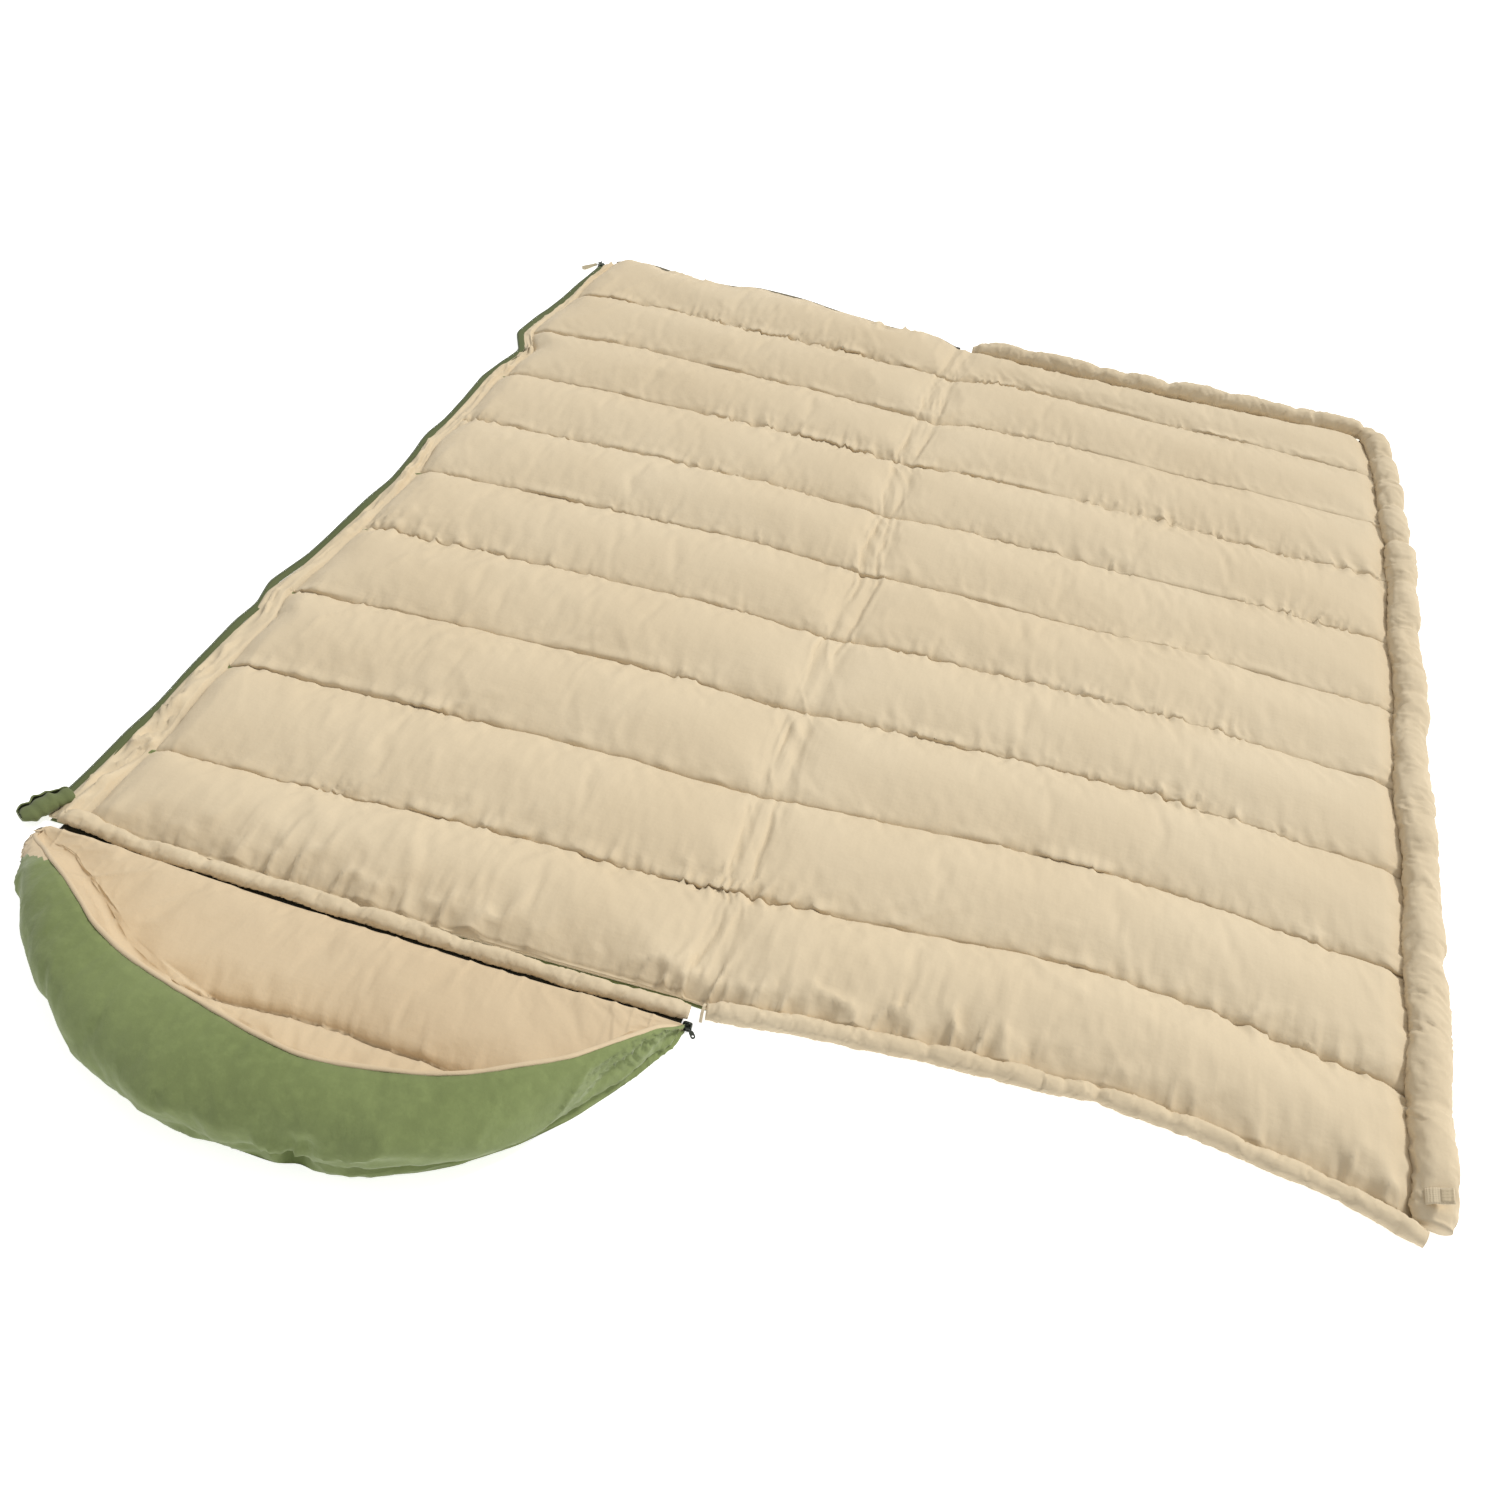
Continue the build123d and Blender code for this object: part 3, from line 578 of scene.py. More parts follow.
# the fine grid: short rows beside the seams and short columns beside the fold and the edges
fF, fL, fC, fR = np.linspace(0, 1, 15), graded(0.80, 0.0024, 0.0046, 0.05, (1, 1)), np.linspace(0, 1, 14), graded(0.86, 0.0024, 0.0046, 0.05, (1, 1))
half = np.array([0, 1.3, 2.8, 4.6, 6.8, 9.4, 12.6, 16.4, 20.8, 26.0, 32.0, 38.8, 46.4, 54.8, 64.0, 74.5, 86.5, 99.25])
half = half / 198.5
ffr = np.r_[half, (1 - half[:-1])[::-1]]
X, Y, kk, ff, xz, xr, xc, x1, (iF, iL, iC, iR) = grid_layout(fF, fL, fC, fR, ffr)
while (X.shape[1] - 1) % 4:
    fR = np.r_[fR[:-1] * (1 - 1.0 / (2 * len(fR))), 1.0]
    fR = np.linspace(0, 1, len(fR) + 1) * 0 + np.interp(np.linspace(0, 1, len(fR) + 1), np.linspace(0, 1, len(fR)), fR)
    X, Y, kk, ff, xz, xr, xc, x1, (iF, iL, iC, iR) = grid_layout(fF, fL, fC, fR, ffr)
nrow, ncol = X.shape
pc = np.r_[fF[:-1] * (len(cF) - 1), (len(cF) - 1) + fL[:-1] * (len(cL) - 1), (len(cF) + len(cL) - 2) + fC[:-1] * (len(cC) - 1), (len(cF) + len(cL) + len(cC) - 3) + fR * (len(cR) - 1)]
pr = (kk + ff) * (len(cfr) - 1)
DF = spline_at(spline_at(D, pr, 0), pc, 1)
P = np.stack([X, Y, base_height(X, Y, kk, ff, xz, xr, xc, x1)], -1) + DF
seam_rows = [i for i in range(nrow) if ff[i] == 0.0 or i == nrow - 1]

OUTER_UP = 0.0050
# fine folds: d_near is the distance to the nearest sewn row; sgn is + on its foot side
f2, K2 = ff[:, None], kk[:, None]
dn = np.minimum(f2, 1 - f2) * 0.1985 + X * 0
kn = K2 + np.round(f2)
sgn = np.where(f2 > 0.5, 1.0, -1.0)           # the far part of a chamber lies on the foot side of the next seam
inner = ((kn > 0) & (kn < 10)).astype(float)
onq = (np.arange(ncol) >= iL)[None, :].astype(float)
# towards the foot of the right half the wadding lies flatter, and its seams are shallow
calm = ss(0.10, 0.48, X) * (1 - ss(5.5, 8.0, kn)) * inner * np.clip(0.85 + 0.6 * vn(X * 6, kn * 3.3, 491), 0.3, 1.0)
P[..., 2] += onq * 0.0100 * calm * np.exp(-dn / 0.024)
d_left = X - x1[:, None]
d_right = xr[:, None] - X


def ridged(x, y, s, sharp=2.0):
    return (1 - np.abs(vn(x, y, s))) ** sharp


# patches with more and with less gathering along each seam
act = np.clip(0.55 + 0.80 * vn(X * 5.5, kn * 2.7, 401) + 0.45 * vn(X * 15, kn * 1.9, 402), 0.10, 1.5)
lean = X + 0.45 * dn * vn(X * 9, kn * 4.1, 403) + 0.004 * vn(X * 60, Y * 60, 404)
reach = np.where(sgn > 0, 0.018, 0.011) * (0.7 + 0.6 * act)
puck = ridged(lean * 62, kn * 7.3 + dn * 9, 405, 3.0) - 0.35
puck2 = ridged(lean * 118, kn * 5.9 + dn * 16, 406, 2.5) - 0.35
env = (dn / 0.004) * np.exp(1 - dn / 0.004)
env = np.minimum(1.0, dn / 0.003) * np.exp(-dn / reach)
P[..., 2] += onq * inner * act * env * (0.0100 * puck + 0.0058 * puck2)
# long faint creases that start at a seam and run across a chamber
cre = ridged(lean * 21 + Y * 6, Y * 5 + X * 3, 411, 6.0)
cre2 = ridged(X * 17 - Y * 23 + 1.3 * vn(X * 6, Y * 6, 413), Y * 3 + X * 4, 412, 9.0)
patch = np.clip(vn(X * 3.1, Y * 3.7, 414) + 0.25, 0, 1)
patch2 = np.clip(vn(X * 2.3 + 5, Y * 2.9, 415) + 0.15, 0, 1)
P[..., 2] += onq * (0.0021 * cre * patch + 0.0030 * cre2 * patch2) * np.minimum(1, dn / 0.01)
# long slanting creases near the head end of the right half
cre3 = ridged(X * 11 + Y * 10 + 0.9 * vn(X * 4, Y * 4, 493), (X - Y) * 2.0, 494, 11.0)
P[..., 2] += onq * 0.0042 * cre3 * ss(0.15, 0.40, X) * ss(6.5, 8.0, kn) * np.clip(vn(X * 4, Y * 5, 495) + 0.45, 0, 1) * np.minimum(1, dn / 0.012)
# slack that hangs over the stitching in places, on the foot side of a seam
hang = np.clip(vn(X * 17 + 3 * vn(X * 4, kn, 421), kn * 6.1, 422) * 1.3 - 0.12, 0, 1) * (0.6 + 0.4 * act)
bell = np.exp(-(((dn - 0.009) / 0.0060) ** 2))
P[..., 1] -= onq * inner * np.where(sgn > 0, 0.0135 * hang * bell * (1 - 0.6 * calm), 0.0)
P[..., 2] += onq * inner * np.where(sgn > 0, 0.0038 * hang * bell, 0.0)
P[..., 1] += onq * inner * np.where(sgn < 0, 0.0022 * np.exp(-(((dn - 0.006) / 0.004) ** 2)), 0.0)
# the stitching bites in
bite = 0.0030 + 0.0022 * np.clip(act, 0, 1)
P[..., 2] -= onq * inner * bite * (1 - 0.55 * calm) * np.exp(-dn / 0.0026)
# head and foot edges: gathers that run in from the tubes
for row0, s_, dlen in ((0, 431, 0.030), (nrow - 1, 441, 0.050)):
    de = np.abs(Y - Y[row0][None, :])
    gx = X + 0.35 * de * vn(X * 8, 3.0, s_)
    amp_e = np.clip(0.6 + 0.7 * vn(X * 6, 1.0, s_ + 1), 0.1, 1.3) * np.minimum(1, de / 0.004) * np.exp(-de / dlen)
    P[..., 2] += onq * amp_e * 0.0155 * (ridged(gx * 34, de * 14, s_ + 2, 3.4) - 0.34)
    P[..., 2] += onq * amp_e * 0.0070 * (ridged(gx * 80, de * 20, s_ + 3, 2.8) - 0.4)
# the right edge is drawn in by the tube's stitching, with short gathers
amp_r = np.clip(0.5 + 0.8 * vn(Y * 7, 2.0, 451), 0.1, 1.3) * np.minimum(1, d_right / 0.004) * np.exp(-np.clip(d_right, 0, 1) / 0.020)
P[..., 2] += onq * amp_r * 0.0075 * (ridged(Y * 52 + 6 * d_right, d_right * 18, 452, 2.6) - 0.4)
# the two stitched lines of the fold wander, with slanting creases between and beside them
xm = X - xc[:, None]
w1 = HALF_W - 0.002 + 0.0085 * vn(Y * 9, 1.0, 461) + 0.0030 * vn(Y * 30, 2.0, 462)
w2 = HALF_W - 0.002 + 0.0085 * vn(Y * 9, 5.0, 463) + 0.0030 * vn(Y * 30, 6.0, 464)
mid = np.sin(np.pi * np.clip(f2, 0, 1)) ** 0.5
m1 = 0.12 + 0.88 * np.clip(0.42 + 1.3 * vn(Y * 12, 7.0, 465), 0, 1)
m2 = 0.12 + 0.88 * np.clip(0.42 + 1.3 * vn(Y * 12, 9.0, 466), 0, 1)
l1, l2 = xm + w1, xm - w2
P[..., 2] -= 0.0034 * m1 * np.exp(-np.abs(l1) / 0.0030) * (0.4 + 0.6 * mid)
P[..., 2] -= 0.0034 * m2 * np.exp(-np.abs(l2) / 0.0030) * (0.4 + 0.6 * mid)
P[..., 2] += 0.0018 * m1 * np.exp(-(((l1 + 0.007) / 0.004) ** 2)) + 0.0018 * m2 * np.exp(-(((l2 - 0.007) / 0.004) ** 2))
dia = ridged(Y * 24 + xm * 48 + 1.2 * vn(Y * 8, 3.0, 467), xm * 12 + Y * 3, 468, 4.0)
P[..., 2] += 0.0042 * (dia - 0.25) * np.exp(-((xm / 0.030) ** 2)) * (0.35 + 0.65 * mid) * np.clip(0.55 + vn(Y * 6, 4.0, 469), 0.1, 1)
kink = ridged(xm * 70 + 1.6 * vn(Y * 7, 8.0, 481), Y * 5 + xm * 20, 482, 5.0)
P[..., 2] += 0.0024 * (kink - 0.2) * np.exp(-((xm / 0.034) ** 2)) * (0.3 + 0.7 * mid)
# the facing lies in slanting folds, falling to the zip
t = np.clip((X - xz[:, None]) / (x1 - xz)[:, None], 0, 1)
infac = (np.arange(ncol) < iL)[None, :]
bulge = np.sin(np.pi * t) ** 0.8
f_a = 0.0140 * (ridged(Y * 13 + t * 1.1 + 0.8 * vn(Y * 5, t, 471), t * 2.2 + Y, 472, 2.2) - 0.35)
f_b = 0.0080 * (ridged(Y * 33 - t * 1.4, t * 2.6 + 4, 473, 2.2) - 0.35)
slot_ = np.clip(0.55 + 0.9 * vn(Y * 4, 1.0, 474), 0.2, 1.3)
P[..., 2] += np.where(infac, bulge * slot_ * (f_a + f_b), 0)
lipd = np.exp(-np.abs(d_left) / 0.004) * (0.5 + 0.5 * slot_)
P[..., 2] -= 0.0070 * lipd
P[..., 2] = np.clip(P[..., 2], 0.0036, 0.0395)
P[:, 0, 2] = np.minimum(P[:, 0, 2], 0.0062)

# close the pad: an underside 2.2 mm above the floor, on a coarser grid
KR, KC = 2, 4
ri_, ci_ = np.arange(0, nrow, KR), np.arange(0, ncol, KC)
bot = P[np.ix_(ri_, ci_)].copy()
bk, bx = kn[ri_] + 0 * bot[..., 0], bot[..., 0]
bedge = ss(0.002, 0.03, bx - bx[:, :1]) * ss(0.002, 0.03, bx[:, -1:] - bx)
bot[..., 2] = 0.0024 + inner[ri_] * bedge * OUTER_UP * 1.5 * np.exp(-dn[np.ix_(ri_, ci_)] / 0.0085)
bot[..., 2] = np.minimum(bot[..., 2], P[np.ix_(ri_, ci_)][..., 2] - 0.0012)
nbr, nbc = len(ri_), len(ci_)
N0 = nrow * ncol
verts = np.vstack([shift(P).reshape(-1, 3), shift(bot).reshape(-1, 3)])
quads = [tuple(f) for f in grid_faces(nrow, ncol)] + [tuple(f) for f in grid_faces(nbr, nbc, flip=True, base=N0)]


def skirt(fine, coarse, k):
    out = []
    for c in range(len(coarse) - 1):
        for q in range(k):
            out.append((fine[c * k + q], fine[c * k + q + 1], coarse[c]))
        out.append((fine[c * k + k], coarse[c + 1], coarse[c]))
    return out


tris = []
tris += skirt([i * ncol for i in range(nrow)], [N0 + i * nbc for i in range(nbr)], KR)
tris += skirt([i * ncol + ncol - 1 for i in range(nrow)], [N0 + i * nbc + nbc - 1 for i in range(nbr)], KR)
tris += skirt(list(range(ncol)), [N0 + j for j in range(nbc)], KC)
tris += skirt([(nrow - 1) * ncol + j for j in range(ncol)], [N0 + (nbr - 1) * nbc + j for j in range(nbc)], KC)
quilt = new_object("quilted_lining", verts, quads + tris, [LINING])
face_out(quilt)
print("quilt grid", nrow, ncol, len(verts))
# mask of the stitched rows, the head edge's stitching and the fold's two lines: the material lays thread and a bump
# here and paints shade as a warm brown line, fainter where the seams are shallow
seam_and_shade_v = np.zeros((nrow, ncol))
seam_and_shade_v = np.where((onq > 0) & (inner > 0), np.exp(-((dn / 0.0022) ** 2)), 0.0)
seam_and_shade_v = seam_and_shade_v * np.clip(0.50 + 0.45 * act + 0.4 * vn(X * 30, kn * 3.0, 483), 0.25, 1.0) * (1 - 0.60 * calm)
dh = np.abs(Y - Y[-1][None, :])
seam_and_shade_v = np.maximum(seam_and_shade_v, np.where(onq > 0, 0.8 * np.exp(-(((dh - 0.004) / 0.0024) ** 2)), 0))
seam_and_shade_v = np.maximum(seam_and_shade_v, 0.42 * np.exp(-((l1 / 0.0018) ** 2)) * m1)
seam_and_shade_v = np.maximum(seam_and_shade_v, 0.42 * np.exp(-((l2 / 0.0018) ** 2)) * m2)
along = np.broadcast_to(P[..., 0] + P[..., 1], (nrow, ncol))
for nm, arr in (("seam_and_shade", seam_and_shade_v), ("along", along)):
    at = quilt.data.attributes.new(nm, "FLOAT", "POINT")
    at.data.foreach_set("value", np.r_[arr.ravel(), np.zeros(nbr * nbc)].astype(np.float32))


# outer shell below, quilted too: drawn up into the pad along every sewn row
OUTER_UP = 0.0050


def outer_up(dn_, x, k):
    return OUTER_UP * np.exp(-np.abs(dn_) / 0.0085) * (1 + 0.25 * vn(x * 24, k * 3.1, 91))


sh = np.array([0, 1.6, 3.6, 6.4, 10.5, 16, 24, 35, 50, 70, 99.25]) / 198.5
sfr = np.r_[sh, (1 - sh[:-1])[::-1]]
sx_ = 240
kk2 = np.r_[np.repeat(np.arange(10), len(sfr) - 1), 9]
fr = np.r_[np.tile(sfr[:-1], 10), 1.0]
sy_ = len(kk2)
u = np.linspace(0, 1, sx_)
yg = np.interp(kk2 + fr, [0] + list(range(1, 10)) + [10], [0.02] + CENTRE_Y + [-1.915])
XS = (zip_x(yg) + 0.010)[:, None] * (1 - u)[None, :] + (right_x(yg) + 0.004)[:, None] * u[None, :]
YS = np.zeros((sy_, sx_))
for i in range(sy_):
    YS[i] = seam_curve(int(kk2[i]), XS[i]) * (1 - fr[i]) + seam_curve(int(kk2[i]) + 1, XS[i]) * fr[i]
YS[0] += 0.003
YS[-1] -= 0.003
dn2 = np.minimum(fr, 1 - fr)[:, None] * 0.1985 + XS * 0
kn2 = (kk2 + np.round(fr))[:, None] + XS * 0
in2 = ((kn2 > 0) & (kn2 < 10)).astype(float)
edge_in = ss(0.002, 0.03, XS - XS[:, :1]) * ss(0.002, 0.03, XS[:, -1:] - XS)
act2 = np.clip(0.55 + 0.8 * vn(XS * 6, kn2 * 2.9, 92), 0.1, 1.4)
up = in2 * edge_in * outer_up(dn2, XS, kn2)
up = up + in2 * edge_in * act2 * 0.0016 * ((1 - np.abs(vn(XS * 58, kn2 * 4.3 + dn2 * 9, 93))) ** 2.5) * np.minimum(1, dn2 / 0.003) * np.exp(-dn2 / 0.012)
up = up + 0.0004 * np.clip(vn(XS * 20, YS * 20, 94), 0, 1)
low = np.stack([XS, YS, np.clip(up, 0, 0.0062)], -1)
high = low.copy()
high[..., 2] += 0.0008
nv = sy_ * sx_
side = []
for i in range(sy_ - 1):
    side.append((i * sx_, i * sx_ + nv, (i + 1) * sx_ + nv, (i + 1) * sx_))
    side.append(((i + 1) * sx_ + sx_ - 1, (i + 1) * sx_ + sx_ - 1 + nv, i * sx_ + sx_ - 1 + nv, i * sx_ + sx_ - 1))
for j in range(sx_ - 1):
    side.append((j + 1, j + 1 + nv, j + nv, j))
    side.append(((sy_ - 1) * sx_ + j, (sy_ - 1) * sx_ + j + nv, (sy_ - 1) * sx_ + j + 1 + nv, (sy_ - 1) * sx_ + j + 1))
shell = new_object("outer_shell", np.vstack([shift(high).reshape(-1, 3), shift(low).reshape(-1, 3)]), np.vstack([grid_faces(sy_, sx_), grid_faces(sy_, sx_, flip=True, base=nv), np.array(side)]), [SHELLGREEN])
face_out(shell)
# mask of the shell's stitched rows: the material paints shade along them as a darker line, besides its thread and bump
sv_ = in2 * np.exp(-((dn2 / 0.0026) ** 2))
for nm, arr in (("seam_and_shade", np.r_[sv_.ravel(), sv_.ravel()]), ("along", np.r_[(XS + YS).ravel(), (XS + YS).ravel()])):
    at = shell.data.attributes.new(nm, "FLOAT", "POINT")
    at.data.foreach_set("value", arr.astype(np.float32))


# ---------------------------------------------------------------- stuffed tubes
def stuffed(name, line, a, b, z0, pinches, mat, seed, step=0.005, m=28, flat=0.25, wob=0.004, sim=True, low_end=0.0):
    """A stuffed fabric tube along a line of (x, y): half width a, half height b, gathered at the pinches."""
    P, t = resample(np.array(line, float), step)
    P = rounded(P, n=3)
    n = len(P)
    P3 = np.c_[P, np.zeros(n)]
    T, S, U = path_frames(P3)
    ph = np.linspace(0, 2 * np.pi, m, endpoint=False)
    R = np.ones(n)
    for p, depth, w in pinches:
        R = R - depth * np.exp(-np.abs(t - p) / w)
    R = R * (1 + 0.05 * vn(t * 9, t * 0, seed))
    endt = np.minimum(t, t[-1] - t)
    R = R * (0.80 + 0.20 * ss(0, 0.02, endt))
    rings = np.zeros((n, m, 3))
    tt, pp = np.meshgrid(t, ph, indexing="ij")
    # gathers run round the tube, strongest near the pinches
    g = np.zeros(n)
    for p, depth, w in pinches:
        g = g + depth * np.exp(-np.abs(t - p) / (w * 2.5))
    g = 0.25 + np.clip(g, 0, 1.2)
    kz = 0.024 / max(a, 0.012)
    rg = lambda x, y, s_: (1 - np.abs(vn(x, y, s_))) ** 2.2 - 0.42
    wr = (0.185 * g[:, None]) * rg(tt * 40 * kz + 0.9 * np.sin(pp + tt * 9), np.cos(pp) * 0.9 + np.sin(pp) * 0.7 + 9, seed + 3) + (0.085 * g[:, None]) * rg(tt * 95 * kz + 1.2 * np.cos(pp * 2 + tt * 15), np.cos(pp) * 1.5 + np.sin(pp) * 1.2 + 3, seed + 4) + 0.05 * vn(tt * 18, np.sin(pp) * 1.2 + np.cos(pp) * 2 + 4, seed + 5) + 0.050 * rg(tt * 16 + 1.6 * np.sin(pp + 1), np.cos(pp) * 2.2 + np.sin(pp) * 2.0, seed + 6)
    ca, sa = np.cos(ph)[None, :], np.sin(ph)[None, :]
    k = R[:, None] * (1 + wr)
    cx = wob * vn(t * 7, t * 0 + 2, seed + 9)
    off = k * a * np.sign(ca) * np.abs(ca) ** 0.92 + cx[:, None]
    up = k * b * np.sign(sa) * np.abs(sa) ** 0.95
    up = np.where(sa < 0, up * (1 - flat), up)
    lowk_ = 1 - low_end * np.exp(-((t / 0.050) ** 4))[:, None]
    up = up * lowk_
    zc = z0 + b * (1 - flat) * R[:, None] * lowk_
    rings[..., 0] = P[:, 0, None] + S[:, 0, None] * off
    rings[..., 1] = P[:, 1, None] + S[:, 1, None] * off
    rings[..., 2] = zc + up + 0.002 * vn(tt * 12, pp * 0, seed + 12)
    rings[..., 2] = np.maximum(rings[..., 2], z0)
    ob = tube(name, shift(rings), [mat])
    face_out(ob)
    if sim:
        pinv = np.zeros(n)
        for p, depth, w in pinches:
            pinv[np.abs(t - p) < 0.006] = 1.0
        pinv[:2] = pinv[-2:] = 1.0
        bot = (np.sin(ph) < -0.75).astype(float)
        pv = np.maximum(pinv[:, None] * 0.9, bot[None, :] * 0.8)
        pv = np.r_[pv.ravel(), 1, 1]
        cloth(ob, pv, frames=12, pressure=1.0, shrink=(-0.04, -0.04), cap=0.006, bend=0.1, floor=z0 * 0.9)
    return ob


# the side tube lies against the right edge of the quilting; its outer line is wider at the corners' turns
side_y = np.r_[-1.912, np.linspace(-1.88, -0.04, 60), -0.006, 0.008]
side_half = interp([(0.02, 0.0205), (-0.10, 0.0225), (-0.219, 0.0250), (-0.334, 0.0275), (-0.50, 0.0255), (-0.60, 0.0275), (-0.735, 0.0250), (-0.936, 0.0265), (-1.10, 0.0270), (-1.30, 0.0262), (-1.46, 0.0262), (-1.60, 0.0245), (-1.80, 0.0250), (-1.912, 0.0225)], side_y)
side_line = [(float(right_x(y)) + 0.86 * float(h) - 0.0026 - 0.016 * float(ss(-0.050, 0.012, y)), float(y)) for y, h in zip(side_y, side_half)]
side_tube = stuffed("side_draft_tube", side_line, 0.0265, 0.0215, 0.0030, [(0.0, 0.0, 0.02), (0.155, 0.08, 0.012), (0.40, 0.10, 0.014), (0.60, 0.12, 0.014), (0.80, 0.08, 0.014), (0.985, 0.14, 0.016), (1.18, 0.16, 0.014), (1.32, 0.14, 0.012), (1.475, 0.36, 0.016), (1.60, 0.20, 0.014), (1.70, 0.16, 0.012), (1.80, 0.22, 0.016), (1.905, 0.30, 0.02)], TUBEMAT, 101, step=0.0036, m=36, low_end=0.36)
foot_line = [(0.004, -0.0095), (0.056, -0.004), (0.17, -0.006), (0.278, -0.007), (0.36, -0.008), (0.447, -0.006), (0.55, -0.001), (0.66, 0.006), (0.762, 0.0125), (0.82, 0.012), (0.852, 0.010)]
foot_tube = stuffed("foot_draft_tube", foot_line, 0.0215, 0.0215, 0.0030, [(0.0, 0.28, 0.03), (0.12, 0.12, 0.02), (0.28, 0.16, 0.02), (0.335, 0.1, 0.012), (0.43, 0.22, 0.016), (0.56, 0.12, 0.02), (0.70, 0.14, 0.02), (0.85, 0.25, 0.02)], TUBEMAT, 131, step=0.0036, m=34)
coll_line = [(0.020, -1.9230), (0.123, -1.904), (0.20, -1.895), (0.291, -1.885), (0.37, -1.881), (0.443, -1.878), (0.488, -1.869), (0.60, -1.877), (0.685, -1.888), (0.775, -1.903), (0.864, -1.930)]
collar = stuffed("collar_tube", coll_line, 0.0130, 0.0115, 0.0020, [(0.155, 0.12, 0.010), (0.27, 0.24, 0.008), (0.35, 0.12, 0.010), (0.435, 0.22, 0.008), (0.475, 0.40, 0.009), (0.56, 0.20, 0.010), (0.66, 0.16, 0.010), (0.74, 0.18, 0.010)], TUBEMAT, 161, step=0.0030, m=24, wob=0.0012)
head_line = [(-0.866, -1.9290), (-0.836, -1.9275), (-0.795, -1.9320), (-0.75, -1.9372), (-0.666, -1.9375), (-0.512, -1.938), (-0.394, -1.9375), (-0.266, -1.937), (-0.138, -1.936), (-0.05, -1.934), (0.001, -1.931)]
head = stuffed("head_tube", head_line, 0.0120, 0.0098, 0.0052, [(0.06, 0.12, 0.010), (0.12, 0.18, 0.010), (0.215, 0.22, 0.008), (0.31, 0.12, 0.008), (0.43, 0.22, 0.010), (0.57, 0.16, 0.008), (0.68, 0.14, 0.010), (0.77, 0.18, 0.008)], TUBEMAT, 191, step=0.0030, m=22, wob=0.0012)


# ---------------------------------------------------------------- zips
def ribbon(name, line, w_in, w_out, th, mat, zf):
    """A flat tape along a line of (x, y, z): from w_in to w_out sideways."""
    P, t = resample(np.array(line, float), 0.005)
    T, S, U = path_frames(P)
    n = len(P)
    cols = np.linspace(w_in, w_out, 5)
    prof = [(c, th / 2) for c in cols] + [(c, -th / 2) for c in cols[::-1]]
    rings = np.zeros((n, len(prof), 3))
    for j, (c, h) in enumerate(prof):
        rings[:, j] = P + S * c
        rings[:, j, 2] += h + zf(t, c)
    ob = tube(name, shift(rings), [mat])
    face_out(ob)
    return ob


def coil(name, line, r, mat, off, pitch=0.0030):
    """A moulded coil: a bar ridged at every tooth."""
    P, t = resample(np.array(line, float), pitch / 3)
    T, S, U = path_frames(P)
    n, m = len(P), 8
    ph = np.linspace(0, 2 * np.pi, m, endpoint=False)
    k = np.array([1.0, 1.0, 0.62])[np.arange(n) % 3]
    rings = P[:, None] + S[:, None] * (off + 1.15 * r * k[:, None] * np.cos(ph))[..., None] + U[:, None] * (r * k[:, None] * np.sin(ph))[..., None]
    ob = tube(name, shift(rings), [mat])
    face_out(ob)
    return ob


def zip_z(y):
    return 0.0036 + 0.0018 * (1 + vn(np.asarray(y) * 8, 0, 51)) * ss(0.02, -0.12, y) * ss(-1.87, -1.75, y)


ys = np.linspace(-1.888, 0.036, 420)
side_zip = [(float(zip_x(y)) - 0.0, float(y), float(zip_z(y))) for y in ys]
arc = [(-0.8885 + 0.020 * (1 - math.cos(a)) + 0.0, 0.036 + 0.022 * math.sin(a), 0.0036) for a in np.linspace(0.1, math.pi / 2, 10)]
fx = np.linspace(-0.86, -0.03, 220)
fy = smooth_line([(x, y + 0.0075) for x, y in SEAM_L[0]], fx, 0.02)
foot_zip = [(float(a), float(b), 0.0040 + 0.0016 * float(1 + vn(a * 9, 0, 52))) for a, b in zip(fx, fy)]
zero = lambda t, c: 0.0
left_tape = ribbon("left_side_zip_tape_strip", side_zip, -0.0045, 0.0085, 0.0008, TAPE, zero)
left_coil = coil("left_side_zip_coil_strip", side_zip, 0.0015, COIL, -0.0046)
foot_tape = ribbon("left_foot_zip_tape_strip", foot_zip, 0.0045, -0.0065, 0.0008, TAPEGREY, zero)
foot_coil = coil("left_foot_zip_coil_strip", foot_zip, 0.0014, COILGREY, 0.0046)

hz = [(x, float(y), 0.0032) for x, y in zip(np.linspace(-0.862, -0.004, 200), np.full(200, -1.946))]
hood_tape_p = ribbon("hood_zip_tape_panel_strip", hz, 0.0028, -0.0160, 0.0008, TAPEDARK, zero)
hood_coil_p = coil("hood_zip_coil_panel_strip", hz, 0.0012, COILDARK, -0.0028, pitch=0.0026)
hood_coil_h = coil("hood_zip_coil_hood_strip", hz, 0.0012, COILDARK, 0.0028, pitch=0.0026)
rz_y = np.linspace(-1.915, -0.004, 380)
right_zip = [(float(right_x(y)) + 0.0030, float(y), 0.0026) for y in rz_y]
right_tape = ribbon("right_side_zip_tape_strip", right_zip, -0.0130, 0.0030, 0.0008, TAPEDARK, zero)
right_coil = coil("right_side_zip_coil_strip", right_zip, 0.0013, COILDARK, 0.0022)
rfx = np.linspace(0.030, 0.850, 200)
rfy = smooth_line([(x, y + 0.004) for x, y in SEAM_R[0]], rfx, 0.03)
rfoot_zip = [(float(a), float(b), 0.0026) for a, b in zip(rfx, rfy)]
rfoot_tape = ribbon("right_foot_zip_tape_strip", rfoot_zip, 0.0080, -0.0030, 0.0008, TAPEDARK, zero)
rfoot_coil = coil("right_foot_zip_coil_strip", rfoot_zip, 0.0013, COILDARK, -0.0022)

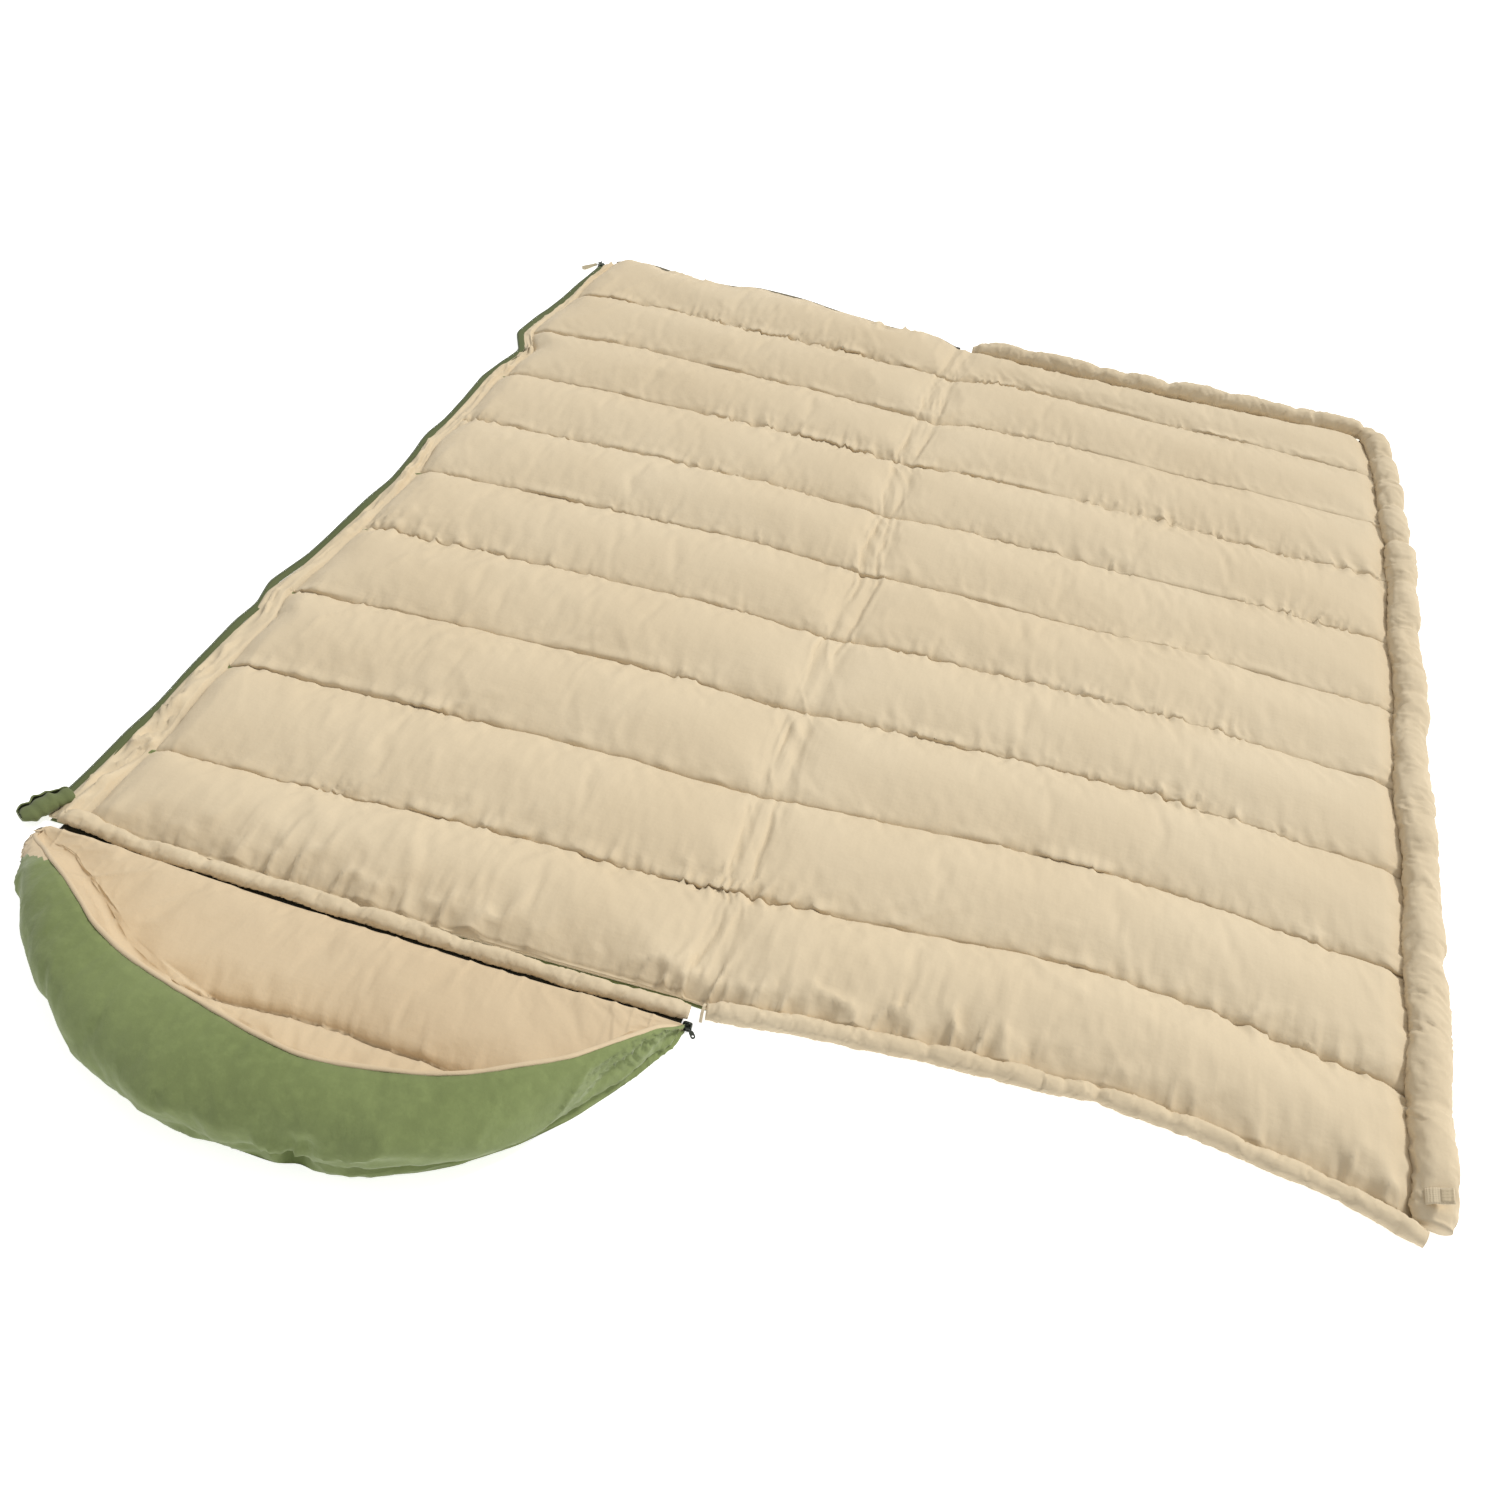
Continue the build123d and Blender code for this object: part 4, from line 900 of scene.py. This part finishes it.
# ---------------------------------------------------------------- hood
ZH = -1.9505
HOOD_OUT = [(-0.874, ZH), (-0.8735, -1.975), (-0.862, -2.003), (-0.843, -2.030), (-0.822, -2.052), (-0.771, -2.114), (-0.705, -2.173), (-0.625, -2.229), (-0.574, -2.253), (-0.498, -2.274), (-0.437, -2.279), (-0.355, -2.279), (-0.302, -2.272), (-0.252, -2.258), (-0.205, -2.236), (-0.167, -2.210), (-0.117, -2.166), (-0.074, -2.112), (-0.040, -2.057), (-0.014, -2.002), (0.000, -1.970), (0.001, ZH)]
RIM = [(-0.872, -1.962, 0.012), (-0.868, -1.978, 0.024), (-0.848, -1.994, 0.036), (-0.815, -2.014, 0.054), (-0.782, -2.040, 0.078), (-0.739, -2.066, 0.091), (-0.690, -2.098, 0.096), (-0.660, -2.119, 0.097), (-0.606, -2.143, 0.097), (-0.562, -2.156, 0.098), (-0.520, -2.166, 0.098), (-0.463, -2.178, 0.098), (-0.415, -2.188, 0.098), (-0.360, -2.196, 0.098), (-0.320, -2.193, 0.098), (-0.272, -2.183, 0.097), (-0.225, -2.172, 0.097), (-0.186, -2.157, 0.096), (-0.154, -2.138, 0.095), (-0.128, -2.120, 0.093), (-0.088, -2.090, 0.086), (-0.053, -2.040, 0.068), (-0.020, -1.985, 0.042), (-0.002, -1.957, 0.014)]
out_d, _ = resample(np.array(HOOD_OUT, float), 0.003)
out_d = rounded(out_d, n=12)
rim_d, _ = resample(np.array(RIM, float), 0.003)
rim_d = rounded(rim_d, n=14)


def at_fraction(L, s):
    d = np.r_[0, np.cumsum(np.linalg.norm(np.diff(L[:, :2], axis=0), axis=1))]
    return np.stack([np.interp(s * d[-1], d, L[:, k]) for k in range(L.shape[1])], 1)


NT = 300
sv = np.linspace(0, 1, NT)
sv = 0.5 - 0.5 * np.cos(np.pi * (0.06 + 0.88 * sv))
sv = (sv - sv[0]) / (sv[-1] - sv[0])
ZP = np.stack([-0.872 + 0.872 * sv, np.full(NT, ZH)], 1)
RP = at_fraction(rim_d, sv)
OP = at_fraction(out_d, sv)
NB1, NB2, NI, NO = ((26, 12, 18, 26))
SEAM_H = lambda x: smooth_line([(-0.90, -2.136), (-0.70, -2.130), (-0.62, -2.124), (-0.55, -2.119), (-0.482, -2.110), (-0.417, -2.103), (-0.362, -2.100), (-0.317, -2.107), (-0.263, -2.106), (-0.195, -2.111), (-0.10, -2.116), (0.02, -2.12)], x, 0.02)
hx, hy, hz_, htag = [], [], [], []
for i in range(NT):
    z0, r0, o0 = ZP[i], RP[i], OP[i]
    H = r0[2]
    band = np.hypot(*(o0 - r0[:2]))
    span = np.hypot(*(r0[:2] - z0))
    mx_ = z0[0] + (r0[0] - z0[0]) * 0.7
    lk = float(ss(-0.62, -0.53, mx_) * (1 - ss(-0.20, -0.14, mx_)))
    foot_w = min(0.55 * span, (0.030 + 0.10 * band) * min(1, H / 0.06))
    base = r0[:2] + (z0 - r0[:2]) * (foot_w / max(span, 1e-6))     # where the inner slope of the rim begins
    ys_ = float(SEAM_H(z0[0] + (r0[0] - z0[0]) * 0.7))
    tau = np.clip((ys_ - z0[1]) / min(base[1] - z0[1], -1e-4), 0.05, 0.93)
    xs, ys2, zs, tg = [], [], [], []
    for a, b, n in ((0.0, tau, NB1), (tau, 1.0, NB2)):
        for u_ in np.linspace(0, 1, n, endpoint=False):
            g = 0.5 - 0.5 * math.cos(math.pi * u_)
            s = a + (b - a) * (0.45 * u_ + 0.55 * g)
            p = z0 + (base - z0) * s
            mid_x = z0[0] + (r0[0] - z0[0]) * 0.7
            lk = float(ss(-0.62, -0.53, mid_x) * (1 - ss(-0.20, -0.14, mid_x)))
            if a == 0:
                loft = 1 - abs(2 * u_ - 1) ** 3.2 * (1.0 if u_ < 0.5 else lk)
            else:
                loft = 1 - (1 - u_) ** 3.2 * lk
            zz = 0.0120 + 0.0115 * loft * min(1.0, span / 0.10) * (1.0 if a == 0 else 1.0 - 0.15 * u_)
            if a == 0:
                zz = zz - (0.0068 * (1 - ss(0.0, 0.10, u_)))
            xs.append(p[0]); ys2.append(p[1]); zs.append(min(zz, max(H * 0.8, 0.006))); tg.append(0 if a == 0 else 1)
    zb = 0.0120 + 0.0115 * 0.85 * min(1.0, span / 0.10)
    for u_ in np.linspace(0, 1, NI, endpoint=False):
        p = base + (r0[:2] - base) * (u_ ** 0.80)
        zlo = min(zb, max(H * 0.8, 0.006))
        xs.append(p[0]); ys2.append(p[1]); zs.append(zlo + (H - zlo) * (0.10 * u_ + 0.90 * u_ ** 2.0)); tg.append(2)
    for u_ in np.linspace(0, 1, NO):
        a = u_ * math.pi * 0.985
        q = (math.sin(a) ** 0.80) if a < math.pi / 2 else 1 - 0.10 * (1 - math.sin(a)) ** 1.2
        p = r0[:2] + (o0 - r0[:2]) * q
        xs.append(p[0]); ys2.append(p[1]); zs.append(max(H * (0.5 + 0.5 * math.cos(a)) ** 0.92, 0.0012)); tg.append(3)
    e = r0[:2] + (o0 - r0[:2]) * 0.9
    for u_ in np.linspace(0, 1, 9)[1:]:
        p = e + (z0 - e) * u_
        xs.append(p[0]); ys2.append(p[1]); zs.append(0.0012); tg.append(4)
    hx.append(xs); hy.append(ys2); hz_.append(zs); htag.append(tg)
HX, HY, ZZ, TG = np.array(hx), np.array(hy), np.array(hz_), np.array(htag)[0]
NS = HX.shape[1]
lin = (TG <= 2)[None, :]
outer = TG == 3
# outward direction in plan of every section
dirv = OP - ZP * 0.5 - RP[:, :2] * 0.5
dirv /= np.maximum(np.linalg.norm(dirv, axis=1)[:, None], 1e-6)
# the lining: soft unevenness and fine folds from its seam and its left end
dse = HY - SEAM_H(HX)
onb = ((TG == 0) | (TG == 1))[None, :]
live = ss(-0.60, -0.53, HX) * (1 - ss(-0.20, -0.14, HX))
near_s = np.exp(-np.abs(dse) / np.where(dse > 0, 0.014, 0.008)) * np.minimum(1, np.abs(dse) / 0.003)
ZZ = ZZ + lin * (0.0016 * vn(HX * 11, HY * 11, 501))
ZZ = ZZ + onb * live * near_s * (0.0062 * (ridged(HX * 55 + dse * 12, dse * 10, 502, 3.0) - 0.4) + 0.0030 * (ridged(HX * 110, dse * 14, 503, 2.5) - 0.4))
ZZ = ZZ - onb * live * 0.0070 * np.exp(-np.abs(dse) / 0.0030)
sag = np.clip(vn(HX * 15, 3.0, 521) * 1.3 - 0.05, 0, 1)
HY = HY - onb * live * 0.0060 * sag * np.exp(-(((dse - 0.009) / 0.006) ** 2))
ZZ = ZZ + onb * live * 0.0040 * sag * np.exp(-(((dse - 0.009) / 0.006) ** 2))
ZZ = ZZ + lin * 0.0012 * ridged(HX * 14 - HY * 19 + vn(HX * 5, HY * 5, 505), HX * 4, 504, 8.0) * np.clip(0.3 + vn(HX * 4, HY * 4, 506), 0, 1)
left_end = np.exp(-(((HX + 0.86) / 0.055) ** 2))
ZZ = ZZ + lin * left_end * 0.0100 * (ridged(HX * 30 + HY * 12 + vn(HY * 12, HX * 8, 507), HY * 9, 508, 2.2) - 0.35) * np.minimum(1, (ZH - HY) / 0.01 + 0.1)
zipn = np.exp(-(ZH - HY) / 0.020) * np.minimum(1, np.clip(ZH - HY, 0, 1) / 0.003)
ZZ = ZZ + lin * zipn * 0.0040 * (ridged(HX * 42, (ZH - HY) * 16, 509, 2.6) - 0.4) * np.clip(0.5 + vn(HX * 5, 1.0, 510), 0.1, 1)
# the outer face: gathers in front, at the left end, and a lower layer whose seam shows as a step
xo = np.linspace(0, 1, NO)[None, :]
S1 = sv[:, None]
lowk = np.sin(np.pi * xo)
front = np.exp(-(((S1 - 0.585) / 0.055) ** 2))
g1 = 1.0 * front * ss(0.30, 0.75, xo) + 0.9 * np.exp(-((S1 / 0.06) ** 2)) + 0.45 * np.exp(-(((S1 - 0.93) / 0.07) ** 2)) + 0.10
fold1 = ridged(S1 * 46 + (S1 - 0.585) * xo * 60, xo * 2.2, 511, 1.6) - 0.45
fold2 = vn(S1 * 60 - xo * 4, xo * 5, 512)
soft1 = vn(S1 * 13 + xo * 0.8, xo * 2, 513)
rad = (0.0150 * g1 * fold1 + 0.0055 * g1 * fold2 + 0.0085 * soft1 + 0.0030 * vn(S1 * 30 + xo * 2.5, xo * 3, 522)) * lowk
rad = rad + 0.0085 * (ridged(S1 * 9 - xo * 1.3, xo * 1.8 + S1 * 4, 523, 3.0) - 0.4) * lowk
rad = rad + 0.0050 * (ridged(S1 * 22 + xo * 2.0, xo * 2.6 - S1 * 5, 524, 4.0) - 0.3) * lowk * np.clip(0.4 + vn(S1 * 5, xo * 2, 525), 0, 1)
step_at = 0.74 + 0.05 * np.sin(S1 * 9)
stepk = np.exp(-(((xo - step_at) / 0.035) ** 2)) * (0.25 + 0.75 * ss(0.56, 0.70, S1)) * ss(0.03, 0.10, S1)
rad = rad - 0.0140 * stepk * np.minimum(1, np.linalg.norm(OP - RP[:, :2], axis=1)[:, None] / 0.03)
pinch = np.exp(-(((S1 - 0.585) / 0.012) ** 2)) * np.exp(-(((xo - 0.80) / 0.16) ** 2))
rad = rad - 0.0200 * pinch
HX[:, outer] += dirv[:, :1] * rad
HY[:, outer] += dirv[:, 1:] * rad
ZZ[:, outer] += 0.55 * (0.0045 * g1 * vn(S1 * 40, xo * 6, 514)) * lowk
ZZ = np.maximum(ZZ, 0.0008)
H3 = np.stack([HX, HY, ZZ], -1)
verts = shift(H3).reshape(-1, 3)
faces, fmat = [], []
for i in range(NT - 1):
    for j in range(NS - 1):
        faces.append((i * NS + j, i * NS + j + 1, (i + 1) * NS + j + 1, (i + 1) * NS + j))
        wrap_end = HX[i, j] < -0.76 and HY[i, j] > -2.022 - 0.28 * (HX[i, j] + 0.85)
        fmat.append(0 if j < int(np.argmax(TG == 3)) or (wrap_end and TG[j] == 3) else 1)
for i, fl in ((0, False), (NT - 1, True)):
    a = [i * NS + j for j in range(NS)]
    p, q = 0, NS - 1
    while q - p > 1:
        f = (a[p], a[p + 1], a[q - 1], a[q]) if q - 1 > p + 1 else (a[p], a[p + 1], a[q])
        faces.append(f if fl else f[::-1])
        fmat.append(0)
        p += 1
        q -= 1
tag_v = np.tile(TG, NT)
dse_v = dse.reshape(-1)
hood = new_object("hood_pad", verts, faces, [HOODLIN, GREEN], None)
for nm, arr in (("tg", tag_v.astype(np.float32)), ("dse", dse_v.astype(np.float32))):
    at = hood.data.attributes.new(nm, "FLOAT", "POINT")
    at.data.foreach_set("value", arr)
if len(fmat) == len(hood.data.polygons):
    hood.data.polygons.foreach_set("material_index", np.asarray(fmat, np.int32))
bm = bmesh.new()
bm.from_mesh(hood.data)
bmesh.ops.remove_doubles(bm, verts=bm.verts, dist=1e-5)
bmesh.ops.recalc_face_normals(bm, faces=bm.faces)
bm.to_mesh(hood.data)
bm.free()
hood.data.polygons.foreach_set("use_smooth", np.ones(len(hood.data.polygons), bool))
nv_ = len(hood.data.vertices)
hv = np.zeros(nv_ * 3)
hood.data.vertices.foreach_get("co", hv)
hv = hv.reshape(-1, 3)
tgv, dv = np.zeros(nv_), np.zeros(nv_)
hood.data.attributes["tg"].data.foreach_get("value", tgv)
hood.data.attributes["dse"].data.foreach_get("value", dv)
lx, ly = hv[:, 0] - SX, hv[:, 1] - SY
onl = tgv <= 1.5
lv = ss(-0.60, -0.53, lx) * (1 - ss(-0.20, -0.14, lx))
pinh = np.exp(-((dv / 0.005) ** 2)) * lv * onl
pinh = np.maximum(pinh, (ly > ZH - 0.006).astype(float))
pinh = np.maximum(pinh, (hv[:, 2] < 0.0035) * 1.0)
near_rim = np.exp(-(((tgv - 3) / 0.4) ** 2)) * 0.0
rp = shift(rim_d)
dr = np.full(nv_, 9.0)
for q in range(0, len(rp), 2):
    dr = np.minimum(dr, np.linalg.norm(hv - rp[q], axis=1))
pinh = np.clip(np.maximum(pinh, 0.9 * np.exp(-((dr / 0.006) ** 2))), 0, 1)
cloth(hood, pinh, frames=12, pressure=0.9, shrink=(-0.012, -0.012), cap=0.006, bend=0.25, floor=0.0008)
# mask of the hood lining's seam: the material paints shade along it as a warm brown line, besides its thread and bump
at = hood.data.attributes.new("seam_and_shade", "FLOAT", "POINT")
at.data.foreach_set("value", (np.exp(-((dv / 0.0024) ** 2)) * lv * onl * (hv[:, 2] > 0.004)).astype(np.float32))
at = hood.data.attributes.new("along", "FLOAT", "POINT")
at.data.foreach_set("value", lx.astype(np.float32))
hood.data.attributes.remove(hood.data.attributes["tg"])
hood.data.attributes.remove(hood.data.attributes["dse"])


# binding along the rim's edge
bl, bt = resample(rim_d, 0.004)
bl = rounded(bl, n=4)
T, S, U = path_frames(bl)
m = 10
ph = np.linspace(0, 2 * np.pi, m, endpoint=False)
rb = 0.0024 * (1 + 0.12 * vn(bt * 60, 0, 231)) * (0.5 + 0.5 * ss(0, 0.02, np.minimum(bt, bt[-1] - bt)))
rings = bl[:, None] + S[:, None] * (rb[:, None] * 1.25 * np.cos(ph))[..., None] + np.array([0, 0, 1.0]) * (rb[:, None] * np.sin(ph) + 0.0006 * vn(bt * 30, 0, 233)[:, None])[..., None]
binding = tube("hood_rim_binding", shift(rings), [HOODLIN])
face_out(binding)

# ---------------------------------------------------------------- zip garage: a rolled flap of shell fabric
def flap(name, cx, cy, ang, length, r, mat, seed):
    """A roll of doubled fabric lying on the floor, a spiral in section."""
    n, m = 46, 120
    s = np.linspace(-0.5, 0.5, n)
    ph = np.linspace(0, 2 * np.pi * 2.15, m)
    rad = r * (0.34 + 0.66 * (ph / ph[-1]))
    prof = np.c_[rad * np.cos(ph), rad * np.sin(ph)]
    th_ = 0.0011
    nrm = np.c_[np.cos(ph), np.sin(ph)]
    loop = np.vstack([prof + nrm * th_, (prof - nrm * th_)[::-1]])
    k = len(loop)
    rings = np.zeros((n, k, 3))
    ca, sa = math.cos(ang), math.sin(ang)
    for i, q in enumerate(s):
        sc = (0.42 + 0.58 * math.sin(math.pi * (0.12 + 0.70 * (0.5 - q)))) * (1 - 0.30 * max(0.0, -2 * q) ** 5) * (1 + 0.10 * float(vn(q * 9, 0.0, seed)))
        lx_, lz_ = loop[:, 0] * sc * 1.15, loop[:, 1] * sc * 0.72
        w = 0.0026 * vn(np.full(k, q * 7), 2.2 * np.cos(2 * np.pi * np.arange(k) / k) + 3, seed + 1)
        al = q * length + 0.003 * vn(np.full(k, q * 3), 1.4 * np.cos(2 * np.pi * np.arange(k) / k), seed + 2)
        rings[i, :, 0] = cx + ca * al - sa * (lx_ + w)
        rings[i, :, 1] = cy + sa * al + ca * (lx_ + w)
        rings[i, :, 2] = r * 0.78 + 0.0045 + lz_ + w * 0.5
    ob = tube(name, shift(rings), [mat])
    face_out(ob)
    return ob


garage = flap("zip_garage_roll", -0.894, -1.922, math.radians(64), 0.068, 0.0165, GREENDK, 301)


def box_piece(name, c, size, mat, bevel=0.0007):
    bm_ = bmesh.new()
    bmesh.ops.create_cube(bm_, size=1.0)
    bmesh.ops.scale(bm_, vec=size, verts=bm_.verts)
    bmesh.ops.bevel(bm_, geom=bm_.edges[:], offset=bevel, segments=3, profile=0.5, affect="EDGES")
    bmesh.ops.translate(bm_, vec=(c[0] + SX, c[1] + SY, c[2]), verts=bm_.verts)
    me_ = bpy.data.meshes.new(name)
    bm_.to_mesh(me_)
    bm_.free()
    o_ = bpy.data.objects.new(name, me_)
    bpy.context.scene.collection.objects.link(o_)
    me_.materials.append(mat)
    return o_


ret_box = box_piece("foot_zip_retainer", (-0.0285, float(fy[-1]) + 0.0035, 0.0042), (0.009, 0.007, 0.0042), COILDARK)
ins_pin = box_piece("foot_zip_pin", (0.0335, float(rfy[0]) + 0.0020, 0.0034), (0.010, 0.0032, 0.0028), COILDARK)


# ---------------------------------------------------------------- small hardware and tabs
def strap(name, pts, width, th_, axis, mat, seg=40):
    """A short strip of tape through (x, y, z) points, wide along axis."""
    P, t = resample(np.array(pts, float), 0.001)
    P = rounded(P, n=6)
    T = np.gradient(P, axis=0)
    T /= np.linalg.norm(T, axis=1)[:, None]
    A = np.array(axis, float)
    Nn = np.cross(T, A)
    Nn /= np.linalg.norm(Nn, axis=1)[:, None]
    w = np.linspace(-0.5, 0.5, 9)
    prof = [(a * width, th_ / 2 * (0.7 if abs(a) == 0.5 else 1)) for a in w] + [(a * width, -th_ / 2 * (0.7 if abs(a) == 0.5 else 1)) for a in w[::-1]]
    rings = np.zeros((len(P), len(prof), 3))
    for j, (a, h) in enumerate(prof):
        rings[:, j] = P + A * a + Nn * h
    ob = tube(name, shift(rings), [mat])
    face_out(ob)
    return ob


th33 = math.radians(33)
TX, TY, TZ = 0.858, -1.888, 0.030
tab_pts = [(TX + s * math.cos(th33) - 0.002 * math.sin(s * 90), TY, TZ + s * math.sin(th33) + 0.0012 * math.sin(s * 200)) for s in np.linspace(0, 0.031, 14)]
tab = strap("closure_tab_strip", tab_pts, 0.021, 0.0016, (0, 1, 0), WEB)
hook = strap("closure_tab_hooks", [(TX + s * math.cos(th33) - 0.0016 * math.sin(th33), TY, TZ + s * math.sin(th33) + 0.0016 * math.cos(th33)) for s in np.linspace(0.017, 0.030, 6)], 0.018, 0.0012, (0, 1, 0), LOOP)
loop_tab = strap("collar_end_strip", [(0.0165, -1.914, 0.0030), (0.0165, -1.916, 0.016), (0.0170, -1.924, 0.0235), (0.0172, -1.932, 0.017), (0.0170, -1.9345, 0.0030)], 0.0036, 0.0014, (1, 0, 0), WEB)


def paint(node, mat):
    o = nodes[node]
    o.data.materials.clear()
    o.data.materials.append(mat)
    for p in o.data.polygons:
        p.material_index = 0


paint("main_slider_body", ENAMEL)
paint("main_slider_bridge", ENAMEL)
paint("main_pull_link", METAL)
paint("main_pull_grip", PULL)
paint("hood_slider_body", DARKMETAL)
paint("hood_slider_bridge", DARKMETAL)
paint("hood_pull_eye", DARKMETAL)
paint("hood_pull_leaf", DARKMETAL)
for n_ in ("left_zip_top_stop", "right_zip_top_stop"):
    paint(n_, COIL)
paint("closure_loop_patch", LOOP)
paint("zip_garage_base", GREEN)

# ---------------------------------------------------------------- what stands for what, and what it rides on
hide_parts("left_lining", "right_lining", "left_batting", "right_batting", "fold_lining_strip", "left_zip_facing")
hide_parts("left_outer_shell", "right_outer_shell", "fold_outer_strip")
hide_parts("side_tube_cover", "side_tube_filling")
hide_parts("foot_tube_cover", "foot_tube_filling")
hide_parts("collar_tube_cover", "collar_tube_filling")
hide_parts("head_tube_cover", "head_tube_filling")
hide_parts("left_side_zip_tape")
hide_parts("left_side_zip_coil")
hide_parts("left_foot_zip_tape")
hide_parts("left_foot_zip_coil")
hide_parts("zip_retainer_box")
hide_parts("zip_insertion_pin")
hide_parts("right_side_zip_tape")
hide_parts("right_side_zip_coil")
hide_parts("right_foot_zip_tape")
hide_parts("right_foot_zip_coil")
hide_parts("hood_zip_tape_panel_side")
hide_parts("hood_zip_coil_panel_side")
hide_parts("hood_zip_coil_hood_side", "hood_zip_tape_hood_side")
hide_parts("hood_base_shell", "hood_base_batting", "hood_base_lining", "hood_rim_outer_cover", "hood_rim_inner_cover", "hood_rim_filling")
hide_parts("hood_edge_binding")
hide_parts("zip_garage_flap")
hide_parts("closure_tab_webbing")
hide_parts("closure_tab_hook_patch")
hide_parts("collar_end_loop")

for ob in (quilt, shell):
    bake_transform(ob)
for ob in (side_tube, foot_tube, collar, loop_tab, right_tape, right_coil, rfoot_tape, rfoot_coil, ins_pin):
    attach(ob, "right_panel")
for ob in (ret_box, head, left_tape, left_coil, foot_tape, foot_coil, hood_tape_p, hood_coil_p, garage):
    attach(ob, "left_panel")
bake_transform(hood)
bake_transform(hood_coil_h)
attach(binding, "hood")
for ob in (tab, hook):
    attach(ob, "closure_tab")

# ---------------------------------------------------------------- floor, light, camera
fm_, fnt, fb = material("floor_paper", (0.85, 0.85, 0.85), 0.9)
fb.inputs["Emission Color"].default_value = (1.0, 1.0, 1.0, 1)
fb.inputs["Emission Strength"].default_value = 0.68
bm = bmesh.new()
bmesh.ops.create_grid(bm, x_segments=8, y_segments=8, size=60.0)
fme = bpy.data.meshes.new("floor")
bm.to_mesh(fme)
bm.free()
floor = bpy.data.objects.new("floor", fme)
floor.location = (0, 0, -0.0006)
bpy.context.scene.collection.objects.link(floor)
fme.materials.append(fm_)

w = bpy.data.worlds.new("world")
bpy.context.scene.world = w
w.use_nodes = True
w.node_tree.nodes["Background"].inputs[0].default_value = (1.0, 1.0, 1.0, 1)
w.node_tree.nodes["Background"].inputs[1].default_value = 0.56


sun_d = bpy.data.lights.new("sun", "SUN")
sun_d.energy = 2.20
sun_d.angle = math.radians(11)
sun_d.color = (1.0, 0.985, 0.955)
sun = bpy.data.objects.new("sun", sun_d)
sun.rotation_euler = (Vector((0, 0, 0)) - Vector((0.78, 0.74, 1.15))).to_track_quat("-Z", "Y").to_euler()
bpy.context.scene.collection.objects.link(sun)

fill_d = bpy.data.lights.new("fill", "AREA")
fill_d.shape = "DISK"
fill_d.size = 1.6
fill_d.energy = 2.6
fill_d.color = (1.0, 0.985, 0.955)
fill = bpy.data.objects.new("fill", fill_d)
fill.location = (1.55 + SX, -1.35 + SY, 1.9)
fill.rotation_euler = (Vector((0.65 + SX, -1.15 + SY, 0)) - Vector(fill.location)).to_track_quat("-Z", "Y").to_euler()
bpy.context.scene.collection.objects.link(fill)

cam_d = bpy.data.cameras.new("camera")
cam_d.lens = 33.0
cam_d.sensor_width = 36.0
cam = bpy.data.objects.new("camera", cam_d)
R = Matrix.Rotation(0.215, 4, "Z") @ Matrix.Rotation(0.835, 4, "X") @ Matrix.Rotation(0.124, 4, "Z")
cam.matrix_world = Matrix.Translation((0.25 + SX, -2.913 + SY, 1.363)) @ R
bpy.context.scene.collection.objects.link(cam)
bpy.context.scene.camera = cam
bpy.context.scene.view_settings.view_transform = "Standard"
bpy.context.scene.view_settings.look = "None"
